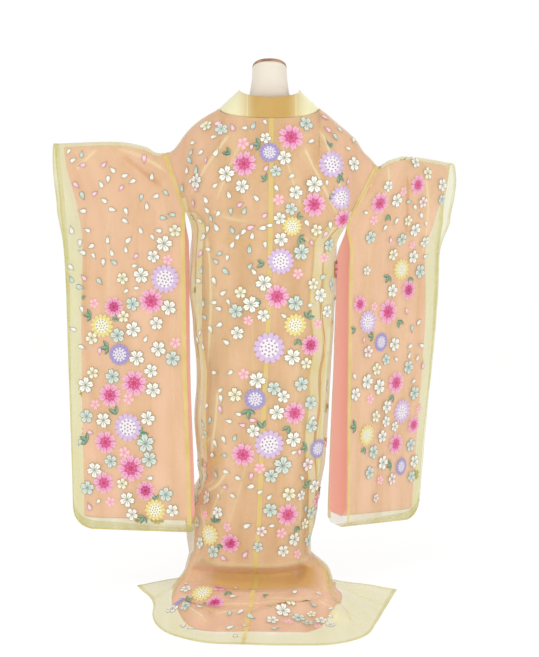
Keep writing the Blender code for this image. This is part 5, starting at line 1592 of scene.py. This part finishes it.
whole_back = on_one_chart(panels["back_left"], panels["back_right"])
cloth_parts = {}
for side, word in SIDES:
    back, front, lap = (panels[part + word] for part in ("back_", "front_", "overlap_"))
    body = sheet("organza_body_" + word, [back, front], BODY_ORGANZA)
    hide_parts("body_" + word)
    overlap = sheet("organza_overlap_" + word, [lap], BODY_ORGANZA)
    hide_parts("overlap_" + word)
    cloth_parts["body_" + word] = body
    cloth_parts["overlap_" + word] = overlap

    seams = [
        strip(back, "left", 0.0, 0.0060),
        strip(back, "right", 0.0, 0.007, 0.0008, last=LOWER + 1),
        strip(front, "left", 0.0, 0.007, 0.0008, last=LOWER + 1),
        strip(front, "right", 0.0, 0.006),
    ]
    hems = [
        strip(back, "right", 0.0, 0.005, 0.0009, first=LOWER, last=TURNINGS_END),
        strip(front, "left", 0.0, 0.012, first=LOWER, last=TURNINGS_END),
        strip(back, "bottom", 0.0, 0.013),
        strip(front, "bottom", 0.0, 0.013),
    ]
    wide = PLEATS_WIDE[word]
    pleats = [
        strip(back, "right", wide * a, wide * b, 0.0006, LOWER, PLEATS_END, 9, 0.007, 0.7)
        for a, b in ((0.0, 0.66), (0.74, 1.0))
    ]
    pleats += [strip(back, "right", 0.0, 0.024, 0.0006, LOWER - 16, LOWER + 1, columns=5)]
    pressed = [
        strip(back, "right", wide * a, wide * b, 0.0010, first, last, 3, 0.007, 0.7)
        for a, b, first, last in (
            (0.97, 1.0, LOWER, PLEATS_END),
            (0.64, 0.67, LOWER + 6, PLEATS_END - 6),
        )
    ]
    edging = [strip(lap, "right", 0.0, 0.014, first=LAP_START), strip(lap, "bottom", 0.0, 0.013)]
    cloth_parts["body_" + word + "_trim"] = (
        sheet("seam_turnings_body_" + word, seams, SEAMED),
        sheet("hem_turnings_body_" + word, hems, TURNED),
        sheet("side_pleats_body_" + word, pleats, PLEATED),
        sheet("pressed_folds_body_" + word, pressed, SEAMED),
    )
    cloth_parts["overlap_" + word + "_trim"] = (sheet("facing_overlap_" + word, edging, TURNED),)
    lining = sheet("lining_body_" + word, lining_charts(side), LINING)
    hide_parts("lining_" + word)
    cloth_parts["lining_" + word] = lining

# ---------------------------------------------------------------- the sleeves
SLEEVE_S = np.sort(np.r_[np.linspace(0, 1, 78), 0.985])
ARM_ROW = 39  # the sleeve's row at the armhole's end


def sleeve_leaves(side, s, lining=False):
    """The sleeve's back and front leaves, sharing their first and last rows."""
    back, front = (sleeve_panel(side, leaf, s, lining) for leaf in (1, -1))
    front["p"][0] = back["p"][0]
    front["p"][-1] = back["p"][-1]
    return back, front


for side, word in SIDES:
    key = "sleeve_" + word
    back, front = sleeve_leaves(side, SLEEVE_S)
    panels[key] = back
    panels[key + "_front"] = front
    centre = np.concatenate([back["p"], front["p"]]).reshape(-1, 3).mean(0)
    sleeve = sheet("organza_" + key, [back, front], ORGANZA, centre)
    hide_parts(key)
    seams, facings = [], []
    for leaf in (back, front):
        seams += [
            strip(leaf, "left", 0.0, 0.012, first=ARM_ROW, last=-3),
            strip(leaf, "left", 0.0, 0.007, last=ARM_ROW + 1),
            strip(leaf, "bottom", 0.0005, 0.005, 0.0009),
        ]
        facings += [
            strip(leaf, "right", 0.0, 0.014, last=-3),
            strip(leaf, "right", 0.0, 0.005, 0.0007, last=-3),
            strip(leaf, "bottom", 0.0005, 0.026, columns=6),
        ]
    trim = (
        sheet("seam_turnings_" + key, seams, SEAMED, centre),
        sheet("facing_" + key, facings, FACING, centre),
    )
    low_leaves = [leaf["p"] for leaf in sleeve_leaves(side, SLEEVE_S[::3], lining=True)]
    lining = sheet("lining_" + key, low_leaves, LINING, centre)
    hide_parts("sleeve_lining_" + word)
    cloth_parts[key] = sleeve
    cloth_parts[key + "_trim"] = trim
    cloth_parts["lining_" + key] = lining

# ---------------------------------------------------------------- the collar
# How the band's width leans away from its seam, by the row of the cloth at the seam.
LEAN = table(
    "v x y z",
    (0.0, -0.055, -0.006, 0.046), (0.25, -0.058, 0.010, 0.020), (0.5, -0.058, 0.017, 0.006),
    (1.0, -0.057, 0.019, 0.0), (1.4, -0.056, 0.021, 0.0),
)


def collar_lines(side):
    """Seam points and directions across the band, from the centre back to the front end."""
    turn = np.linspace(0, 1, 16)
    back = body_point(side, "back", np.zeros(16), SIDE_SEAM * NECK_SHARE * turn)
    v = np.r_[np.linspace(0, 1, 22)[1:], np.linspace(1, V_COLLAR_END, 16)[1:]]
    front = body_point(side, "front", v, np.where(v < 1, FRONT_SEAM, okumi_s(v, 1.0)))
    a = turn * math.pi / 2
    half, deep, z_back, z_side = COLLAR_TOP
    x = NECK_BACK[0] * np.cos(a) + side * half * np.sin(a)
    y = -0.010 - (deep - 0.010) * np.cos(a)
    z = z_back + (z_side - z_back) * (1 - np.cos(a))
    top = np.stack([x, y, z], -1)
    way = np.stack([smooth(v, LEAN["v"], LEAN[c]) for c in "xyz"], -1) * [side, 1, 1]
    return np.r_[back, front], np.r_[top - back, way]


lines = [collar_lines(side) for side in (-1, 1)]
seam = np.concatenate([lines[0][0][::-1], lines[1][0][1:]])
way = np.concatenate([lines[0][1][::-1], lines[1][1][1:]])
share = np.r_[0.013, np.linspace(0.08, 0.92, 9), 0.97, 1.0]
band = seam[:, None] + way[:, None] * share[None, :, None]
collar = sheet("organza_collar", [band], BAND, (0.0, 0.0, 1.30))
thick = collar.modifiers.new("folded_double", "SOLIDIFY")
thick.thickness = COLLAR_WALL
thick.offset = -1
thick.use_even_offset = True
thick.thickness_clamp = 0.0
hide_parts("collar")


# ---------------------------------------------------------------- the form and its stand
def lofted(name, rings, mat):
    """A closed form through rings of points, its ends capped."""
    bm = bmesh.new()
    loops = []
    for ring in rings:
        made = bmesh.ops.create_circle(bm, segments=len(ring), radius=1.0)
        for v in made["verts"]:
            v.co = ring[round(math.atan2(v.co.y, v.co.x) / (2 * math.pi) * len(ring)) % len(ring)]
        loops.append(list({e for v in made["verts"] for e in v.link_edges}))
    for low, high in zip(loops[:-1], loops[1:]):
        bmesh.ops.bridge_loops(bm, edges=low + high)
    bmesh.ops.holes_fill(bm, edges=[e for e in bm.edges if e.is_boundary], sides=0)
    bmesh.ops.recalc_face_normals(bm, faces=bm.faces)
    return mesh_object(name, bm, mat)


def ring_of(z, wide, deep, mid, tilt, power=2.25, n=48):
    """A level ring of points, rounder or squarer by its power, tilted in y."""
    a = np.arange(n) / n * 2 * math.pi
    e = 2 / power
    x = wide * np.sign(np.cos(a)) * np.abs(np.cos(a)) ** e
    y = deep * np.sign(np.sin(a)) * np.abs(np.sin(a)) ** e
    return np.stack([x, mid + y, z + tilt * y], -1)


heights = np.r_[np.linspace(0.8, 1.3, 34)[:-1], np.linspace(1.3, 1.48, 40)]
columns = [TORSO[c] for c in ("wide", "deep", "mid", "tilt")]
rings = [ring_of(z, *(float(smooth(z, TORSO["z"], column)) for column in columns)) for z in heights]
form = lofted("form_cover", rings, COVER)
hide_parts("form_torso")
top = TORSO["z"][-1] + 0.0003
CAP = table(
    "rise size", (0.0, 0.985), (0.0008, 1.0), (0.005, 1.0), (0.0072, 0.985), (0.009, 0.94),
    (0.0102, 0.88), (0.011, 0.80),
)
rings = [
    ring_of(top + rise, 0.0475 * size, 0.0465 * size, 0.0, -NECK_TILT)
    for rise, size in zip(CAP["rise"], CAP["size"])
]
cap = lofted("neck_cap", rings, WOOD)
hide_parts("form_neck_cap")


def spun(name, profile, mat):
    """A turned piece about the upright axis."""
    bm = bmesh.new()
    verts = [bm.verts.new((r, 0, z)) for r, z in profile]
    edges = [bm.edges.new(pair) for pair in zip(verts[:-1], verts[1:])]
    bmesh.ops.spin(
        bm, geom=verts + edges, cent=(0, 0, 0), axis=(0, 0, 1), angle=2 * math.pi, steps=64,
        use_merge=True,
    )
    bmesh.ops.remove_doubles(bm, verts=bm.verts, dist=0.00002)
    bmesh.ops.recalc_face_normals(bm, faces=bm.faces)
    obj = mesh_object(name, bm, mat)
    obj.data.set_sharp_from_angle(angle=math.radians(35))
    return obj


pole = spun(
    "stand_pole_painted",
    [(0, TORSO_BOTTOM - GAP), (POLE_RADIUS - 0.001, TORSO_BOTTOM - GAP), (POLE_RADIUS, TORSO_BOTTOM - 0.002),
     (POLE_RADIUS, HUB_TOP + 0.002), (POLE_RADIUS - 0.001, HUB_TOP + GAP), (0, HUB_TOP + GAP)],
    PAINT,
)
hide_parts("stand_pole")
foot = spun(
    "stand_foot_painted",
    [(0, HUB_TOP), (HUB_RADIUS - 0.004, HUB_TOP), (HUB_RADIUS - 0.001, HUB_TOP - 0.0012),
     (HUB_RADIUS, HUB_TOP - 0.004), (HUB_RADIUS, FOOT_THICK + 0.006),
     (HUB_RADIUS + 0.0018, FOOT_THICK + 0.0018), (HUB_RADIUS + 0.006, FOOT_THICK),
     (FOOT_RADIUS - 0.003, FOOT_THICK), (FOOT_RADIUS - 0.0009, FOOT_THICK - 0.0009),
     (FOOT_RADIUS, FOOT_THICK - 0.003), (FOOT_RADIUS, 0), (0, 0)],
    PAINT,
)
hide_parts("stand_base")

# ---------------------------------------------------------------- the motifs on the cloth
flowers_back = motif_object(
    "motifs_back",
    joined(
        motifs_on(whole_back, motif_places("back")),
        motifs_on(whole_back, motif_places("train"), train=True),
    ),
)
flowers = {"back": flowers_back}
for word in ("left", "right"):
    flowers["front_" + word] = motif_object(
        "motifs_front_" + word, motifs_on(panels["front_" + word], motif_places("front_" + word))
    )
    key = "sleeve_" + word
    flowers[key] = motif_object(
        "motifs_" + key,
        joined(
            motifs_on(panels[key], motif_places(key)),
            motifs_on(panels[key + "_front"], motif_places(key, front=True)),
        ),
    )

# ---------------------------------------------------------------- riding and cut sizes
for obj in bpy.data.objects:
    if obj.type == "MESH" and obj.name not in frame["nodes"]:
        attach(obj, "root")

CUTS = {  # width and length of each cut, in metres, how it is held and what holds it
    "body_left": (0.42, 1.86, "hung", "form_cover"),
    "body_right": (0.41, 1.86, "hung", "form_cover"),
    "overlap_left": (0.075, 1.28, "hung", "organza_body_left"),
    "overlap_right": (0.075, 1.28, "hung", "organza_body_right"),
    "sleeve_left": (0.72, 1.07, "hung", "organza_body_left"),
    "sleeve_right": (0.72, 1.07, "hung", "organza_body_right"),
    "lining_left": (0.42, 1.76, "hung", "form_cover"),
    "lining_right": (0.40, 1.76, "hung", "form_cover"),
    "lining_sleeve_left": (0.64, 1.03, "hung", "organza_sleeve_left"),
    "lining_sleeve_right": (0.64, 1.03, "hung", "organza_sleeve_right"),
}
for name, (width, length, held, holder) in CUTS.items():
    extra = list(cloth_parts.get(name + "_trim", ()))
    if name in flowers:
        extra.append(flowers[name])
    if name == "body_left":
        extra += [flowers["back"], flowers["front_left"]]
    if name == "body_right":
        extra.append(flowers["front_right"])

# ---------------------------------------------------------------- floor, light and camera
bm = bmesh.new()
bmesh.ops.create_grid(bm, x_segments=8, y_segments=8, size=14.0)
bmesh.ops.translate(bm, verts=bm.verts, vec=(0, 0, -0.0004))
floor = mesh_object("studio_floor", bm, FLOOR)

world = bpy.data.worlds.new("soft_white_room")
world.use_nodes = True
shade = world.node_tree.nodes["Background"]
shade.inputs["Color"].default_value = (1.0, 1.0, 1.0, 1.0)
sight = node(world.node_tree, "ShaderNodeLightPath").outputs["Is Camera Ray"]
strength = mapped(world.node_tree, sight, 0.0, 1.0, 0.62, 1.0)
world.node_tree.links.new(strength, shade.inputs["Strength"])
bpy.context.scene.world = world


def aimed(name, data, place, aim):
    """A light or camera as an object in the scene, pointed from its place at its aim."""
    obj = bpy.data.objects.new(name, data)
    obj.location = place
    obj.rotation_euler = (Vector(aim) - Vector(place)).to_track_quat("-Z", "Y").to_euler()
    bpy.context.scene.collection.objects.link(obj)
    return obj


def softbox(name, place, aim, power, size):
    """A square soft light, its power in watts."""
    light = bpy.data.lights.new(name, "AREA")
    light.energy, light.size = power, size
    aimed(name, light, place, aim)


sun = bpy.data.lights.new("big_soft_light", "SUN")
sun.energy, sun.angle = 0.78, math.radians(30)
aimed("big_soft_light", sun, (0, 0, 0), (0.26, 0.44, -0.86))

softbox("key_softbox", (-2.6, -2.6, 2.4), (0, 0, 0.8), 10, 1.2)
softbox("fill_softbox", (3.0, -2.2, 1.6), (0.3, 0, 0.8), 26, 2.0)
softbox("low_softbox", (0.3, -3.4, 0.5), (0, 0, 0.1), 12, 1.4)
softbox("back_softbox", (0.6, 3.2, 2.8), (0, 0, 0.9), 24, 2.4)

camera = bpy.data.cameras.new("studio_camera")
camera.sensor_fit = "VERTICAL"
camera.sensor_height = 36.0
camera.lens = 1500 / 657 * 36  # the view is 657 high for every 1500 that it is away
bpy.context.scene.camera = aimed("studio_camera", camera, (0.0, -4.2, 1.2), (0, 0, 0.76))
bpy.context.scene.view_settings.view_transform = "Standard"
